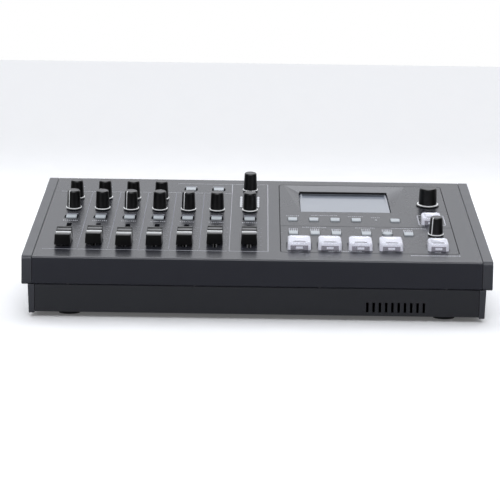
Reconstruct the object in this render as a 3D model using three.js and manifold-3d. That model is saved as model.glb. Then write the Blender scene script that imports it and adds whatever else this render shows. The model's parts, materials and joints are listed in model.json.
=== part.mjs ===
// A wedge-shaped desktop control desk: a folded steel case between two moulded end cheeks, with seven
// faders, rotary knobs, push buttons, a small display and two circuit boards inside.
// Millimetres, +Z up. The origin is on the floor under the middle of the desk, +X to the operator's right.
import * as THREE from 'three';
import { mergeVertices } from 'three/addons/utils/BufferGeometryUtils.js';
import Module from 'manifold-3d';

const wasm = await Module();
wasm.setup();

// ---- Driving dimensions ----------------------------------------------------------------------------

// Case
const DEPTH = 223;
const FRONT_Y = -DEPTH / 2;
const REAR_Y = DEPTH / 2;
const CASE_HALF_WIDTH = 180;
const TRAY_HALF_WIDTH = 177.8;
const CHEEK_OUTER_X = 188.5;
const TILT = THREE.MathUtils.degToRad(10);
const FRONT_TOP_Z = 49;
const REAR_TOP_Z = FRONT_TOP_Z + DEPTH * Math.tan(TILT);
const SHEET = 1.6;
const GAP = 0.3;
const EDGE_RADIUS = 1.6;
// How far one solid reaches into the next where they are joined
const OVERLAP = 0.4;

// Tray and cover meet on this seam
const TRAY_BOTTOM_Z = 4.6;
const TRAY_TOP_Z = 26.4;
const COVER_BOTTOM_Z = TRAY_TOP_Z + GAP;
const REAR_LIP_Z = 78;
const TONGUE_Z = [20, 33];

// End cheeks
const CHEEK_UPPER_Z = 26.2;
const CHEEK_PROUD = 0.5;
const CHEEK_LOWER_Z = [3.4, TRAY_TOP_Z];
const CHEEK_LOWER_X = { inner: TRAY_HALF_WIDTH + GAP, bottom: 182.6, top: 183.5 };

// Feet
const FOOT = { x: 152, y: 88, radius: 10, height: TRAY_BOTTOM_Z - GAP, chamfer: 1 };

// Fader positions and travel on the sloping deck: u across, v up the slope, h out of the deck
const CHANNELS = 6;
const CHANNEL_PITCH = 24.65;
const FIRST_CHANNEL_U = -158.3;
const MASTER_U = -6.9;
const FADER_BOTTOM_V = 37;
const FADER_TRAVEL = 45;
const FADER_RAISED = [1.0, 5.1, 1.4, 2.5, 4.8, 8.6, 8.3];
const FADER_SLOT = { width: 4, length: FADER_TRAVEL + 16, centreV: FADER_BOTTOM_V + FADER_TRAVEL / 2 + 0.5 };
const FADER_CAP = { width: 13.4, topWidth: 12.1, base: 1.5, rim: 10.3 };
// Half of a cap's side view, from its foot over the rim and the finger steps to the raised index line:
// [distance from the line, height]
const FADER_PROFILE = [
  [11.9, FADER_CAP.base],
  [11.2, 9.9],
  [10.6, FADER_CAP.rim],
  [9.6, FADER_CAP.rim],
  [9.4, 9.7],
  [4.9, 8.9],
  [1, 7.9],
  [0.8, 9.2],
];
const FADER_STEM = { width: 1.8, length: 7.4, bottom: -7.5 };
const FADER_BODY = { width: 9, length: FADER_SLOT.length + 15, top: -2.2, floor: -9, channel: 3.6 };

// Knobs
const SHAFT_RADIUS = 3;
const SHAFT_BOTTOM = -8;
const SHAFT_HOLE_RADIUS = 3.9;
const SHAFT_SIDES = 12;
const POT_BORE_RADIUS = 3.6;
const KNOB_SIDES = 18;
const SMALL_KNOB = { ring: 6.7, base: 6, top: 5.2, height: 16.6 };
const ENCODER_KNOB = { ring: 10, base: 7.9, top: 7.3, height: 16.2 };
const SIDE_KNOB = { ring: 6.6, base: 6, top: 4.9, height: 15.8 };
const SKIRT_H = [0.5, 1.7];
const POT_BODY = { size: 10.5, floor: -9, mixerTop: -2.6, panelTop: -4.8 };

// Buttons
const BUTTON_GAP = 0.4;
const CHANNEL_BUTTON = { width: 8.8, sideGap: 1.5, depth: 8, height: 0.9, corner: 0.9, chamfer: 0.3 };
const MENU_BUTTON = { width: 7.9, sideGap: BUTTON_GAP, depth: 8.2, height: 0.9, corner: 0.9, chamfer: 0.3 };
const FUNCTION_BUTTON = { width: 7.8, sideGap: BUTTON_GAP, depth: 8.1, height: 1, corner: 0.9, chamfer: 0.3 };
const ROUND_BUTTON = { width: 8.4, sideGap: BUTTON_GAP, depth: 8.4, height: 1.2, corner: 2.4, chamfer: 0.3 };
const SCENE_BUTTON = { width: 19.8, sideGap: BUTTON_GAP, depth: 21, height: 6.4, corner: 2, chamfer: 1 };
const SIDE_BUTTON = { width: 17.4, sideGap: BUTTON_GAP, depth: 17.6, height: 6.4, corner: 2, chamfer: 1 };
const MIXER_KEY = { capBottom: -3, flangeTop: -2.2, stemBottom: -6.2, stemSize: 2.2 };
const PANEL_KEY = { capBottom: -5.6, flangeTop: -4.8, stemBottom: -11.4, stemSize: 2.2 };
const LARGE_KEY = { capBottom: -5.6, flangeTop: -4.8, stemBottom: -9, stemSize: 6 };
const FLANGE_LAP = 0.4;
const FLANGE_THICKNESS = 1;
const CORNER_SEGMENTS = 1;

// Control fascia, set into the deck
const FASCIA = { u: [19.1, 162.9], v: [20, 212], corner: 3, thickness: 2.2, gap: 0.7 };
const FASCIA_FLANGE = { margin: 4, h: [-4.2, -SHEET - GAP] };
const FASCIA_GROOVE = { v: 90.6, width: 0.6, depth: 0.5 };

// Display and the sunk well around it
const DISPLAY = { u: [36.7, 114.5], v: [132.2, 197.6], sink: 3, lensDepth: 1.4, cutDepth: 10 };
const WELL = { outerU: [23.3, 131], rearV: 211.5 };
const WELL_TUB = { u: [18, 136], v: [128, 214], h: [-6.4, -3], above: 5 };
const DISPLAY_FRAME = { margin: 3.5, depth: 7.6, thickness: 3 };

// Circuit boards
const MIXER_BOARD = { u: [-170, 12], v: [14, 206], h: [-12.6, -11] };
const CONTROL_BOARD = { u: [20, 168], v: [16, 206], h: [-18, -16.4] };
const BOARD_LINK = { u: [9, 23], v: [100, 120], h: [-18, -11] };
const STANDOFF = { u: [-167, 9.5], v: [30, 116, 196], radius: 2, top: -SHEET - GAP, sides: 8 };
const TACT_SWITCH = { size: 6, mixerTop: -7.5, panelTop: -12.7 };
const KEY_SWITCH = { size: 13, top: -11.4 };
const REAR_BOARD = {
  x: [-172, 172],
  y: [48, 107],
  z: [14, 15.6],
  standoff: { x: [-165, -55, 55, 165], y: [56, 84], radius: 3, sides: 8 },
};

// Rear sockets, all centred on one line across the rear wall
const REAR_WALL_Y = [107.9, 109.5];
const SOCKET_FACE_Y = REAR_WALL_Y[0] - GAP;
const SOCKET_NOSE_Y = 109.9;
const SOCKET_Z = 30;
const SOCKET_BACK = 3;
const NOSE_GAP = 0.4;
const NOSE_SIDES = 16;
const TONGUE = { width: 0.66, height: 0.2 };
const MIC_SOCKET = { x: [-158, -128], block: 26, nose: 11.9, bore: 3.4, depth: 16 };
const LINE_SOCKET = { x: [-100, -82, -64, -46], block: 14, nose: 5.4, bore: 3.3, depth: 15 };
const VIDEO_SOCKET = { x: [-14, 8, 30, 52, 84, 106], width: 15.2, height: 6, depth: 9, wall: 0.6 };
const DATA_SOCKET = { x: [128], width: 9.4, height: 3.6, depth: 7, wall: 0.5 };
const POWER_INLET = { x: [142], block: 12, nose: 5.4, bore: 3.2, depth: 9, pin: 1.2, pinSides: 8 };
const POWER_SWITCH = {
  x: 164,
  width: 19,
  height: 13.2,
  backY: 92,
  well: { width: 16.6, height: 9.8, floorY: 97.6 },
};
// The rocker's outline is seen from above, about its own axis
const ROCKER = {
  axisY: 101.8,
  height: 9.2,
  tilt: THREE.MathUtils.degToRad(8),
  outline: [[-5.4, -2.4], [5.4, -2.4], [6.8, 6.3], [0, 5.2], [-6.8, 6.3]],
};

// ---- Finishes --------------------------------------------------------------------------------------

function finish(color, roughness, metalness) {
  return new THREE.MeshStandardMaterial({ color, roughness, metalness });
}

const finishes = {
  paintedSteel: finish(0x6c6d73, 0.45, 0.2),
  darkPaint: finish(0x2c2d31, 0.5, 0.2),
  cheekPlastic: finish(0x6a6b70, 0.55, 0),
  fasciaPlastic: finish(0x67686e, 0.5, 0),
  blackPlastic: finish(0x121214, 0.4, 0),
  greyKey: finish(0xd2d6da, 0.4, 0),
  clearKey: finish(0xececf8, 0.25, 0),
  displayGlass: finish(0xc3c8d0, 0.2, 0),
  circuitBoard: finish(0x1d5a38, 0.6, 0),
  rubber: finish(0x151515, 0.9, 0),
};

// ---- Shape helpers ---------------------------------------------------------------------------------

// Turns a closed geometry into a solid that can be joined and cut
function solid(geometry) {
  const bare = geometry.clone();
  bare.deleteAttribute('normal');
  bare.deleteAttribute('uv');
  const merged = mergeVertices(bare, 1e-4);
  const index = merged.index.array;
  const triangles = [];
  for (let i = 0; i < index.length; i += 3) {
    const [a, b, c] = [index[i], index[i + 1], index[i + 2]];
    if (a !== b && b !== c && c !== a) {
      triangles.push(a, b, c);
    }
  }
  const vertProperties = merged.attributes.position.array;
  const triVerts = new Uint32Array(triangles);
  return new wasm.Manifold(new wasm.Mesh({ numProp: 3, vertProperties, triVerts }));
}

function toGeometry(body) {
  const mesh = body.getMesh();
  const geometry = new THREE.BufferGeometry();
  geometry.setAttribute('position', new THREE.BufferAttribute(mesh.vertProperties, 3));
  geometry.setIndex(new THREE.BufferAttribute(mesh.triVerts, 1));
  return geometry;
}

function join(...geometries) {
  const joined = geometries.map(solid).reduce((whole, next) => whole.add(next));
  return toGeometry(joined);
}

function cut(geometry, tools) {
  const whole = solid(geometry).subtract(solid(join(...tools)));
  return toGeometry(whole);
}

// A box between the low and high values of each axis
function box(x, y, z) {
  const geometry = new THREE.BoxGeometry(x[1] - x[0], y[1] - y[0], z[1] - z[0]);
  return geometry.translate((x[0] + x[1]) / 2, (y[0] + y[1]) / 2, (z[0] + z[1]) / 2);
}

// A low and high value around a centre
function around(centre, size) {
  return [centre - size / 2, centre + size / 2];
}

// An upright cylinder about (x, y)
function post(x, y, z, radius, sides) {
  const geometry = new THREE.CylinderGeometry(radius, radius, z[1] - z[0], sides);
  return geometry.rotateX(Math.PI / 2).translate(x, y, (z[0] + z[1]) / 2);
}

// A round bar along Y about (x, z)
function barAlongY(x, z, y, radius, sides) {
  const geometry = new THREE.CylinderGeometry(radius, radius, y[1] - y[0], sides);
  return geometry.translate(x, (y[0] + y[1]) / 2, z);
}

// A solid turned about Z from (radius, height) points that start and end on the axis
function turned(points, sides) {
  const profile = points.map(([radius, height]) => new THREE.Vector2(radius, height));
  return new THREE.LatheGeometry(profile, sides).rotateX(Math.PI / 2);
}

function roundedRect(width, depth, radius) {
  const x = width / 2 - radius;
  const y = depth / 2 - radius;
  const quarter = Math.PI / 2;
  const shape = new THREE.Shape();
  shape.absarc(x, -y, radius, -quarter, 0);
  shape.absarc(x, y, radius, 0, quarter);
  shape.absarc(-x, y, radius, quarter, 2 * quarter);
  shape.absarc(-x, -y, radius, 2 * quarter, 3 * quarter);
  shape.closePath();
  return shape;
}

// A straight-sided slab of an outline between two heights
function slab(shape, z, curveSegments = CORNER_SEGMENTS) {
  const options = { depth: z[1] - z[0], bevelEnabled: false, curveSegments };
  return new THREE.ExtrudeGeometry(shape, options).translate(0, 0, z[0]);
}

// The same with its top and bottom edges chamfered
function chamferedSlab(shape, z, chamfer) {
  const geometry = new THREE.ExtrudeGeometry(shape, {
    depth: z[1] - z[0] - 2 * chamfer,
    bevelThickness: chamfer,
    bevelSize: chamfer,
    bevelOffset: -chamfer,
    bevelSegments: 1,
    curveSegments: CORNER_SEGMENTS,
  });
  return geometry.translate(0, 0, z[0] + chamfer);
}

// A closed outline whose corners are eased by a short curve
function easedOutline(points, ease) {
  const shape = new THREE.Shape();
  const corners = points.map(([a, b]) => new THREE.Vector2(a, b));
  corners.forEach((corner, i) => {
    const before = corners[(i + corners.length - 1) % corners.length];
    const after = corners[(i + 1) % corners.length];
    const from = corner.clone().add(before.clone().sub(corner).setLength(ease));
    const to = corner.clone().add(after.clone().sub(corner).setLength(ease));
    if (i === 0) {
      shape.moveTo(from.x, from.y);
    } else {
      shape.lineTo(from.x, from.y);
    }
    shape.quadraticCurveTo(corner.x, corner.y, to.x, to.y);
  });
  shape.closePath();
  return shape;
}

function plainOutline(points) {
  return new THREE.Shape(points.map(([a, b]) => new THREE.Vector2(a, b)));
}

// Carries an outline drawn in (Y, Z) along X
function alongX(shape, x, curveSegments = 3) {
  const geometry = slab(shape, [0, x[1] - x[0]], curveSegments);
  const basis = new THREE.Matrix4().makeBasis(
    new THREE.Vector3(0, 1, 0),
    new THREE.Vector3(0, 0, 1),
    new THREE.Vector3(1, 0, 0),
  );
  return geometry.applyMatrix4(basis).translate(x[0], 0, 0);
}

// Carries an outline drawn in (X, Z) along Y
function alongY(shape, y) {
  const geometry = slab(shape, [0, y[1] - y[0]]);
  return geometry.rotateX(Math.PI / 2).translate(0, y[1], 0);
}

// ---- Scene frame -----------------------------------------------------------------------------------

const desk = new THREE.Group();
const deck = new THREE.Group();
deck.position.set(0, FRONT_Y, FRONT_TOP_Z);
deck.rotation.x = TILT;
deck.updateMatrix();
desk.add(deck);

// A shape drawn on the deck, moved to the desk's own frame
function offDeck(geometry) {
  return geometry.applyMatrix4(deck.matrix);
}

function addPart(name, geometry, material, parent = desk) {
  const mesh = new THREE.Mesh(join(geometry), material);
  mesh.name = name;
  parent.add(mesh);
  return mesh;
}

// ---- Control layout on the deck --------------------------------------------------------------------

const channelU = Array.from({ length: CHANNELS }, (_, i) => FIRST_CHANNEL_U + i * CHANNEL_PITCH);
const faderU = [...channelU, MASTER_U];
const stripNames = [...channelU.map((_, i) => `${i + 1}`), 'master'];

const faders = faderU.map((u, i) => ({
  name: `fader_${stripNames[i]}`,
  u,
  v: FADER_BOTTOM_V + FADER_RAISED[i],
}));

const mixerKnobs = [
  ...faderU.map((u, i) => ({ name: `level_knob_${stripNames[i]}`, u, v: 132.2, size: SMALL_KNOB })),
  ...channelU.slice(0, 4).map((u, i) => ({ name: `gain_knob_${i + 1}`, u, v: 163.4, size: SMALL_KNOB })),
  { name: 'monitor_knob', u: MASTER_U, v: 192.6, size: SMALL_KNOB },
];

const panelKnobs = [
  { name: 'encoder_knob', u: 147.8, v: 155.5, size: ENCODER_KNOB },
  { name: 'effect_knob', u: 148.1, v: 70.9, size: SIDE_KNOB },
];

const mixerButtons = [
  ...faderU.map((u, i) => ({ name: `channel_button_${stripNames[i]}`, u, v: 108.2, size: CHANNEL_BUTTON })),
  ...channelU.slice(4).map((u, i) => ({ name: `source_button_${i + 5}`, u, v: 194.6, size: CHANNEL_BUTTON })),
];

const menuU = [29.7, 47.6, 65.7, 83.7, 116.6];
const functionU = [29.8, 47.8, 65.6, 90.5, 108, 125.7];
const ROUND_FUNCTION_BUTTON = 5;

const panelButtons = [
  ...menuU.map((u, i) => ({ name: `menu_button_${i + 1}`, u, v: 108.7, size: MENU_BUTTON })),
  ...functionU.map((u, i) => ({
    name: `function_button_${i + 1}`,
    u,
    v: 70.9,
    size: i + 1 === ROUND_FUNCTION_BUTTON ? ROUND_BUTTON : FUNCTION_BUTTON,
  })),
];

const SCENE_PITCH = 24.93;
const largeButtons = [
  ...[0, 1, 2, 3].map((i) => ({
    name: `scene_button_${i + 1}`,
    u: 34 + i * SCENE_PITCH,
    v: 36.8,
    size: SCENE_BUTTON,
  })),
  { name: 'output_button', u: 147.1, v: 36.4, size: SIDE_BUTTON },
  { name: 'take_button', u: 147, v: 107, size: SIDE_BUTTON },
];

// ---- Holes -----------------------------------------------------------------------------------------

const THROUGH = [-30, 10];

function shaftHole({ u, v }) {
  return post(u, v, THROUGH, SHAFT_HOLE_RADIUS, SHAFT_SIDES);
}

function buttonHole({ u, v, size }) {
  const width = size.width + 2 * size.sideGap;
  const depth = size.depth + 2 * BUTTON_GAP;
  const shape = roundedRect(width, depth, size.corner + BUTTON_GAP);
  return slab(shape, THROUGH, CORNER_SEGMENTS).translate(u, v, 0);
}

function faderSlot(u) {
  return box(around(u, FADER_SLOT.width), around(FADER_SLOT.centreV, FADER_SLOT.length), THROUGH);
}

// ---- Case ------------------------------------------------------------------------------------------

// Side view of the wedge from the given height up to the deck, drawn in by `inset` on all sides but the bottom
function wedgePoints(bottomZ, inset) {
  const drop = inset / Math.cos(TILT);
  const frontZ = FRONT_TOP_Z - drop + inset * Math.tan(TILT);
  const rearZ = REAR_TOP_Z - drop - inset * Math.tan(TILT);
  return [
    [FRONT_Y + inset, bottomZ],
    [REAR_Y - inset, bottomZ],
    [REAR_Y - inset, rearZ],
    [FRONT_Y + inset, frontZ],
  ];
}

function buildTopCover() {
  const wedge = easedOutline(wedgePoints(COVER_BOTTOM_Z, 0), EDGE_RADIUS);
  const outer = alongX(wedge, around(0, 2 * CASE_HALF_WIDTH));
  const innerX = around(0, 2 * (CASE_HALF_WIDTH - SHEET));
  const hollow = alongX(plainOutline(wedgePoints(0, SHEET)), innerX);
  const rearWindow = box(innerX, [REAR_Y - 3 * SHEET, REAR_Y + 1], [0, REAR_LIP_Z]);
  const fasciaWidth = FASCIA.u[1] - FASCIA.u[0] + 2 * FASCIA.gap;
  const fasciaDepth = FASCIA.v[1] - FASCIA.v[0] + 2 * FASCIA.gap;
  const fasciaHole = slab(roundedRect(fasciaWidth, fasciaDepth, FASCIA.corner + FASCIA.gap), THROUGH, 4);
  fasciaHole.translate((FASCIA.u[0] + FASCIA.u[1]) / 2, (FASCIA.v[0] + FASCIA.v[1]) / 2, 0);
  const deckHoles = [
    ...faderU.map(faderSlot),
    ...mixerKnobs.map(shaftHole),
    ...mixerButtons.map(buttonHole),
    fasciaHole,
  ];
  return cut(outer, [hollow, rearWindow, ...deckHoles.map(offDeck)]);
}

function buildBottomTray() {
  const outerX = around(0, 2 * TRAY_HALF_WIDTH);
  const innerX = around(0, 2 * (TRAY_HALF_WIDTH - SHEET));
  const rearInnerY = REAR_WALL_Y[0];
  const pan = cut(box(outerX, [FRONT_Y, REAR_WALL_Y[1]], [TRAY_BOTTOM_Z, TRAY_TOP_Z]), [
    box(innerX, [FRONT_Y + SHEET, rearInnerY], [TRAY_BOTTOM_Z + SHEET, TRAY_TOP_Z + 1]),
  ]);
  const rearWall = box(outerX, REAR_WALL_Y, [TRAY_BOTTOM_Z, REAR_LIP_Z + 5]);
  const apronY = FRONT_Y + SHEET + GAP;
  const tongueX = around(0, 2 * (TRAY_HALF_WIDTH - 4 * SHEET));
  const tongue = box(tongueX, [apronY, apronY + SHEET], TONGUE_Z);
  const tongueRoot = box(tongueX, [FRONT_Y + SHEET / 2, apronY + SHEET], [TONGUE_Z[0], TONGUE_Z[0] + SHEET]);
  const vent = { first: 88.6, pitch: 5.02, count: 10, width: 2, z: [7.5, 15.5] };
  const vents = Array.from({ length: vent.count }, (_, i) => {
    const x = vent.first + i * vent.pitch;
    return box(around(x, vent.width), [FRONT_Y - 1, FRONT_Y + 2 * SHEET], vent.z);
  });
  return cut(join(pan, rearWall, tongue, tongueRoot), [...vents, ...rearWallHoles()]);
}

// A cheek for the right end; the left one is its mirror image
function buildCheek() {
  const top = CHEEK_PROUD;
  const profile = wedgePoints(CHEEK_UPPER_Z, 0).map(([y, z]) => [y, z > CHEEK_UPPER_Z ? z + top : z]);
  const upper = alongX(easedOutline(profile, 2 * EDGE_RADIUS), [CASE_HALF_WIDTH + GAP, CHEEK_OUTER_X]);
  const { inner, bottom, top: topX } = CHEEK_LOWER_X;
  const [lowZ, highZ] = CHEEK_LOWER_Z;
  const lowerShape = plainOutline([[inner, lowZ], [bottom, lowZ], [topX, highZ], [inner, highZ]]);
  const lower = alongY(lowerShape, [FRONT_Y, REAR_Y]);
  return join(upper, lower);
}

// Mirrors a shape left to right
function mirrored(geometry) {
  const flipped = geometry.clone().scale(-1, 1, 1);
  const index = flipped.index.array;
  for (let i = 0; i < index.length; i += 3) {
    [index[i + 1], index[i + 2]] = [index[i + 2], index[i + 1]];
  }
  return flipped;
}

function buildFoot(x, y) {
  const { radius, height, chamfer } = FOOT;
  const points = [[0, 0], [radius - chamfer, 0], [radius, chamfer], [radius, height], [0, height]];
  return turned(points, 20).translate(x, y, 0);
}

// ---- Control fascia and display --------------------------------------------------------------------

// The sunk well: flush at the display's front edge, sinking to its rear edge, then rising to the deck
function wellCutter() {
  const [u0, u1] = DISPLAY.u;
  const [v0, v1] = DISPLAY.v;
  const [outer0, outer1] = WELL.outerU;
  const { above } = WELL_TUB;
  const corners = [
    [u0, v0, 0],
    [u1, v0, 0],
    [u1, v1, -DISPLAY.sink],
    [u0, v1, -DISPLAY.sink],
    [outer1, WELL.rearV, 0],
    [outer0, WELL.rearV, 0],
    [u0, v0, above],
    [u1, v0, above],
    [outer1, WELL.rearV, above],
    [outer0, WELL.rearV, above],
  ];
  const faces = [
    [0, 1, 2], [0, 2, 3],
    [3, 2, 4], [3, 4, 5],
    [1, 4, 2],
    [0, 3, 5],
    [6, 8, 7], [6, 9, 8],
    [0, 6, 7], [0, 7, 1],
    [4, 8, 9], [4, 9, 5],
    [1, 7, 8], [1, 8, 4],
    [0, 5, 9], [0, 9, 6],
  ];
  const geometry = new THREE.BufferGeometry();
  const outward = faces.flatMap(([a, b, c]) => [a, c, b]);
  geometry.setAttribute('position', new THREE.Float32BufferAttribute(corners.flat(), 3));
  geometry.setIndex(outward);
  return geometry;
}

// A plate lying in the sloping floor of the well, between depths below that floor
function displayPlate(margin, depths) {
  const [v0, v1] = DISPLAY.v;
  const slope = Math.atan2(DISPLAY.sink, v1 - v0);
  const length = Math.hypot(DISPLAY.sink, v1 - v0);
  const u = [DISPLAY.u[0] - margin, DISPLAY.u[1] + margin];
  const plate = box(u, [-margin, length + margin], [-depths[1], -depths[0]]);
  return plate.rotateX(-slope).translate(0, v0, 0);
}

function buildFascia() {
  const centreU = (FASCIA.u[0] + FASCIA.u[1]) / 2;
  const centreV = (FASCIA.v[0] + FASCIA.v[1]) / 2;
  const width = FASCIA.u[1] - FASCIA.u[0];
  const length = FASCIA.v[1] - FASCIA.v[0];
  const { margin, h } = FASCIA_FLANGE;
  const plate = slab(roundedRect(width, length, FASCIA.corner), [-FASCIA.thickness, 0], 4);
  const flange = slab(roundedRect(width + 2 * margin, length + margin, FASCIA.corner), h);
  const tub = box(WELL_TUB.u, WELL_TUB.v, WELL_TUB.h);
  const body = join(plate.translate(centreU, centreV, 0), flange.translate(centreU, centreV, 0), tub);
  const groove = box(
    [FASCIA.u[0] - OVERLAP, FASCIA.u[1] + OVERLAP],
    around(FASCIA_GROOVE.v, FASCIA_GROOVE.width),
    [-FASCIA_GROOVE.depth, OVERLAP],
  );
  return cut(body, [
    wellCutter(),
    displayPlate(GAP, [-DISPLAY.sink, DISPLAY.cutDepth]),
    groove,
    ...panelKnobs.map(shaftHole),
    ...panelButtons.map(buttonHole),
    ...largeButtons.map(buttonHole),
  ]);
}

function buildDisplay() {
  const { margin, depth, thickness } = DISPLAY_FRAME;
  const glass = displayPlate(-GAP, [DISPLAY.lensDepth, depth + OVERLAP]);
  const frame = displayPlate(margin, [depth, depth + thickness]);
  return join(glass, frame);
}

// ---- Moving controls -------------------------------------------------------------------------------

function buildFader({ u, v }) {
  const { width, topWidth, base, rim } = FADER_CAP;
  const otherHalf = FADER_PROFILE.map(([away, height]) => [-away, height]).reverse();
  const outline = plainOutline([...FADER_PROFILE, ...otherHalf]);
  const cap = alongX(outline, around(0, width));
  const lean = (width - topWidth) / 2;
  const side = plainOutline([
    [-width / 2 - 1, base - 1],
    [-width / 2, base],
    [-width / 2 + lean, rim],
    [-width / 2 + lean, rim + 1],
    [-width / 2 - 1, rim + 1],
  ]);
  const leftSide = alongY(side, [-20, 20]);
  const drafted = cut(cap, [leftSide, mirrored(join(leftSide))]);
  const stemH = [FADER_STEM.bottom, base + 1];
  const stem = box(around(0, FADER_STEM.width), around(0, FADER_STEM.length), stemH);
  return join(drafted, stem).translate(u, v, 0);
}

function buildKnob({ u, v, size }) {
  const [skirtLow, skirtHigh] = SKIRT_H;
  const points = [
    [0, SHAFT_BOTTOM],
    [SHAFT_RADIUS, SHAFT_BOTTOM],
    [SHAFT_RADIUS, skirtLow],
    [size.ring, skirtLow],
    [size.ring, skirtHigh],
    [size.base, skirtHigh],
    [size.top, size.height],
    [0, size.height],
  ];
  return turned(points, KNOB_SIDES).translate(u, v, 0);
}

// A key cap through its hole, a wider flange that keeps it in, and a stem down to its switch
function buildButton({ u, v, size }, { capBottom, flangeTop, stemBottom, stemSize }) {
  const capOutline = roundedRect(size.width, size.depth, size.corner);
  const cap = chamferedSlab(capOutline, [capBottom, size.height], size.chamfer);
  const flangeU = around(0, size.width + 2 * (size.sideGap + FLANGE_LAP));
  const flangeV = around(0, size.depth + 2 * (BUTTON_GAP + FLANGE_LAP));
  const flange = box(flangeU, flangeV, [flangeTop - FLANGE_THICKNESS, flangeTop]);
  const stem = box(around(0, stemSize), around(0, stemSize), [stemBottom, flangeTop]);
  return join(cap, flange, stem).translate(u, v, 0);
}

// ---- Circuit boards --------------------------------------------------------------------------------

function potBody({ u, v }, boardTop, top) {
  const { size, floor } = POT_BODY;
  const block = box(around(u, size), around(v, size), [boardTop - OVERLAP, top]);
  return cut(block, [post(u, v, [floor, top + OVERLAP], POT_BORE_RADIUS, SHAFT_SIDES)]);
}

function faderBody(u) {
  const { width, length, top, floor, channel } = FADER_BODY;
  const bodyV = around(FADER_SLOT.centreV, length);
  const trackV = around(FADER_SLOT.centreV, FADER_SLOT.length);
  const block = box(around(u, width), bodyV, [MIXER_BOARD.h[1] - OVERLAP, top]);
  const track = box(around(u, channel), trackV, [floor, top + OVERLAP]);
  return cut(block, [track]);
}

// A switch of a given size on a board
function switchBody({ u, v }, size, boardTop, top) {
  return box(around(u, size), around(v, size), [boardTop - OVERLAP, top]);
}

// The two sloping boards under the deck, linked side by side, with their faders, pots, switches and standoffs
function buildPanelBoard() {
  const mixerTop = MIXER_BOARD.h[1];
  const controlTop = CONTROL_BOARD.h[1];
  const { radius, u, v, top, sides } = STANDOFF;
  return join(
    box(MIXER_BOARD.u, MIXER_BOARD.v, MIXER_BOARD.h),
    box(CONTROL_BOARD.u, CONTROL_BOARD.v, CONTROL_BOARD.h),
    box(BOARD_LINK.u, BOARD_LINK.v, BOARD_LINK.h),
    ...u.flatMap((postU) => v.map((postV) => post(postU, postV, [mixerTop - OVERLAP, top], radius, sides))),
    ...faderU.map(faderBody),
    ...mixerKnobs.map((knob) => potBody(knob, mixerTop, POT_BODY.mixerTop)),
    ...mixerButtons.map((button) => switchBody(button, TACT_SWITCH.size, mixerTop, TACT_SWITCH.mixerTop)),
    ...panelKnobs.map((knob) => potBody(knob, controlTop, POT_BODY.panelTop)),
    ...panelButtons.map((button) => switchBody(button, TACT_SWITCH.size, controlTop, TACT_SWITCH.panelTop)),
    ...largeButtons.map((button) => switchBody(button, KEY_SWITCH.size, controlTop, KEY_SWITCH.top)),
  );
}

// ---- Rear sockets ----------------------------------------------------------------------------------

// Clear holes in the tray's rear wall, one round each socket's nose
function rearWallHoles() {
  const wallY = [REAR_WALL_Y[0] - 1, REAR_WALL_Y[1] + 1];
  const round = (x, radius) => barAlongY(x, SOCKET_Z, wallY, radius + NOSE_GAP, NOSE_SIDES);
  const square = (x, { width, height }) => {
    return box(around(x, width + 2 * NOSE_GAP), wallY, around(SOCKET_Z, height + 2 * NOSE_GAP));
  };
  return [
    ...MIC_SOCKET.x.map((x) => round(x, MIC_SOCKET.nose)),
    ...LINE_SOCKET.x.map((x) => round(x, LINE_SOCKET.nose)),
    ...VIDEO_SOCKET.x.map((x) => square(x, VIDEO_SOCKET)),
    ...DATA_SOCKET.x.map((x) => square(x, DATA_SOCKET)),
    ...POWER_INLET.x.map((x) => round(x, POWER_INLET.nose)),
    square(POWER_SWITCH.x, POWER_SWITCH),
  ];
}

// A socket's block, standing on the rear board behind the wall
function socketBlock(x, width, topZ, y) {
  return box(around(x, width), [y, SOCKET_FACE_Y], [REAR_BOARD.z[1] - OVERLAP, topZ]);
}

function jackSocket(x, { block, nose, bore, depth }) {
  const body = socketBlock(x, block, SOCKET_Z + block / 2, SOCKET_NOSE_Y - depth - SOCKET_BACK);
  const collar = barAlongY(x, SOCKET_Z, [SOCKET_FACE_Y - 1, SOCKET_NOSE_Y], nose, NOSE_SIDES);
  const hole = barAlongY(x, SOCKET_Z, [SOCKET_NOSE_Y - depth, SOCKET_NOSE_Y + 1], bore, SHAFT_SIDES);
  return cut(join(body, collar), [hole]);
}

// A thin shell with a flat contact tongue inside
function shellSocket(x, { width, height, depth, wall }) {
  const body = socketBlock(x, width + 2, SOCKET_Z + height / 2 + 1, SOCKET_NOSE_Y - depth - SOCKET_BACK);
  const shell = box(around(x, width), [SOCKET_FACE_Y - 1, SOCKET_NOSE_Y], around(SOCKET_Z, height));
  const cavityY = [SOCKET_NOSE_Y - depth, SOCKET_NOSE_Y + 1];
  const cavity = box(around(x, width - 2 * wall), cavityY, around(SOCKET_Z, height - 2 * wall));
  const tongueY = [SOCKET_NOSE_Y - depth - 1, SOCKET_NOSE_Y - 1];
  const tongue = box(around(x, width * TONGUE.width), tongueY, around(SOCKET_Z, height * TONGUE.height));
  return join(cut(join(body, shell), [cavity]), tongue);
}

function powerInlet(x) {
  const { depth, pin, pinSides } = POWER_INLET;
  const pinY = [SOCKET_NOSE_Y - depth - 1, SOCKET_NOSE_Y - 1];
  return join(jackSocket(x, POWER_INLET), barAlongY(x, SOCKET_Z, pinY, pin, pinSides));
}

function powerSwitchHousing() {
  const { x, width, height, backY, well } = POWER_SWITCH;
  const body = socketBlock(x, width, SOCKET_Z + height / 2, backY);
  const collar = box(around(x, width), [SOCKET_FACE_Y - 1, SOCKET_NOSE_Y], around(SOCKET_Z, height));
  const recess = box(around(x, well.width), [well.floorY, SOCKET_NOSE_Y + 1], around(SOCKET_Z, well.height));
  return cut(join(body, collar), [recess]);
}

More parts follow.
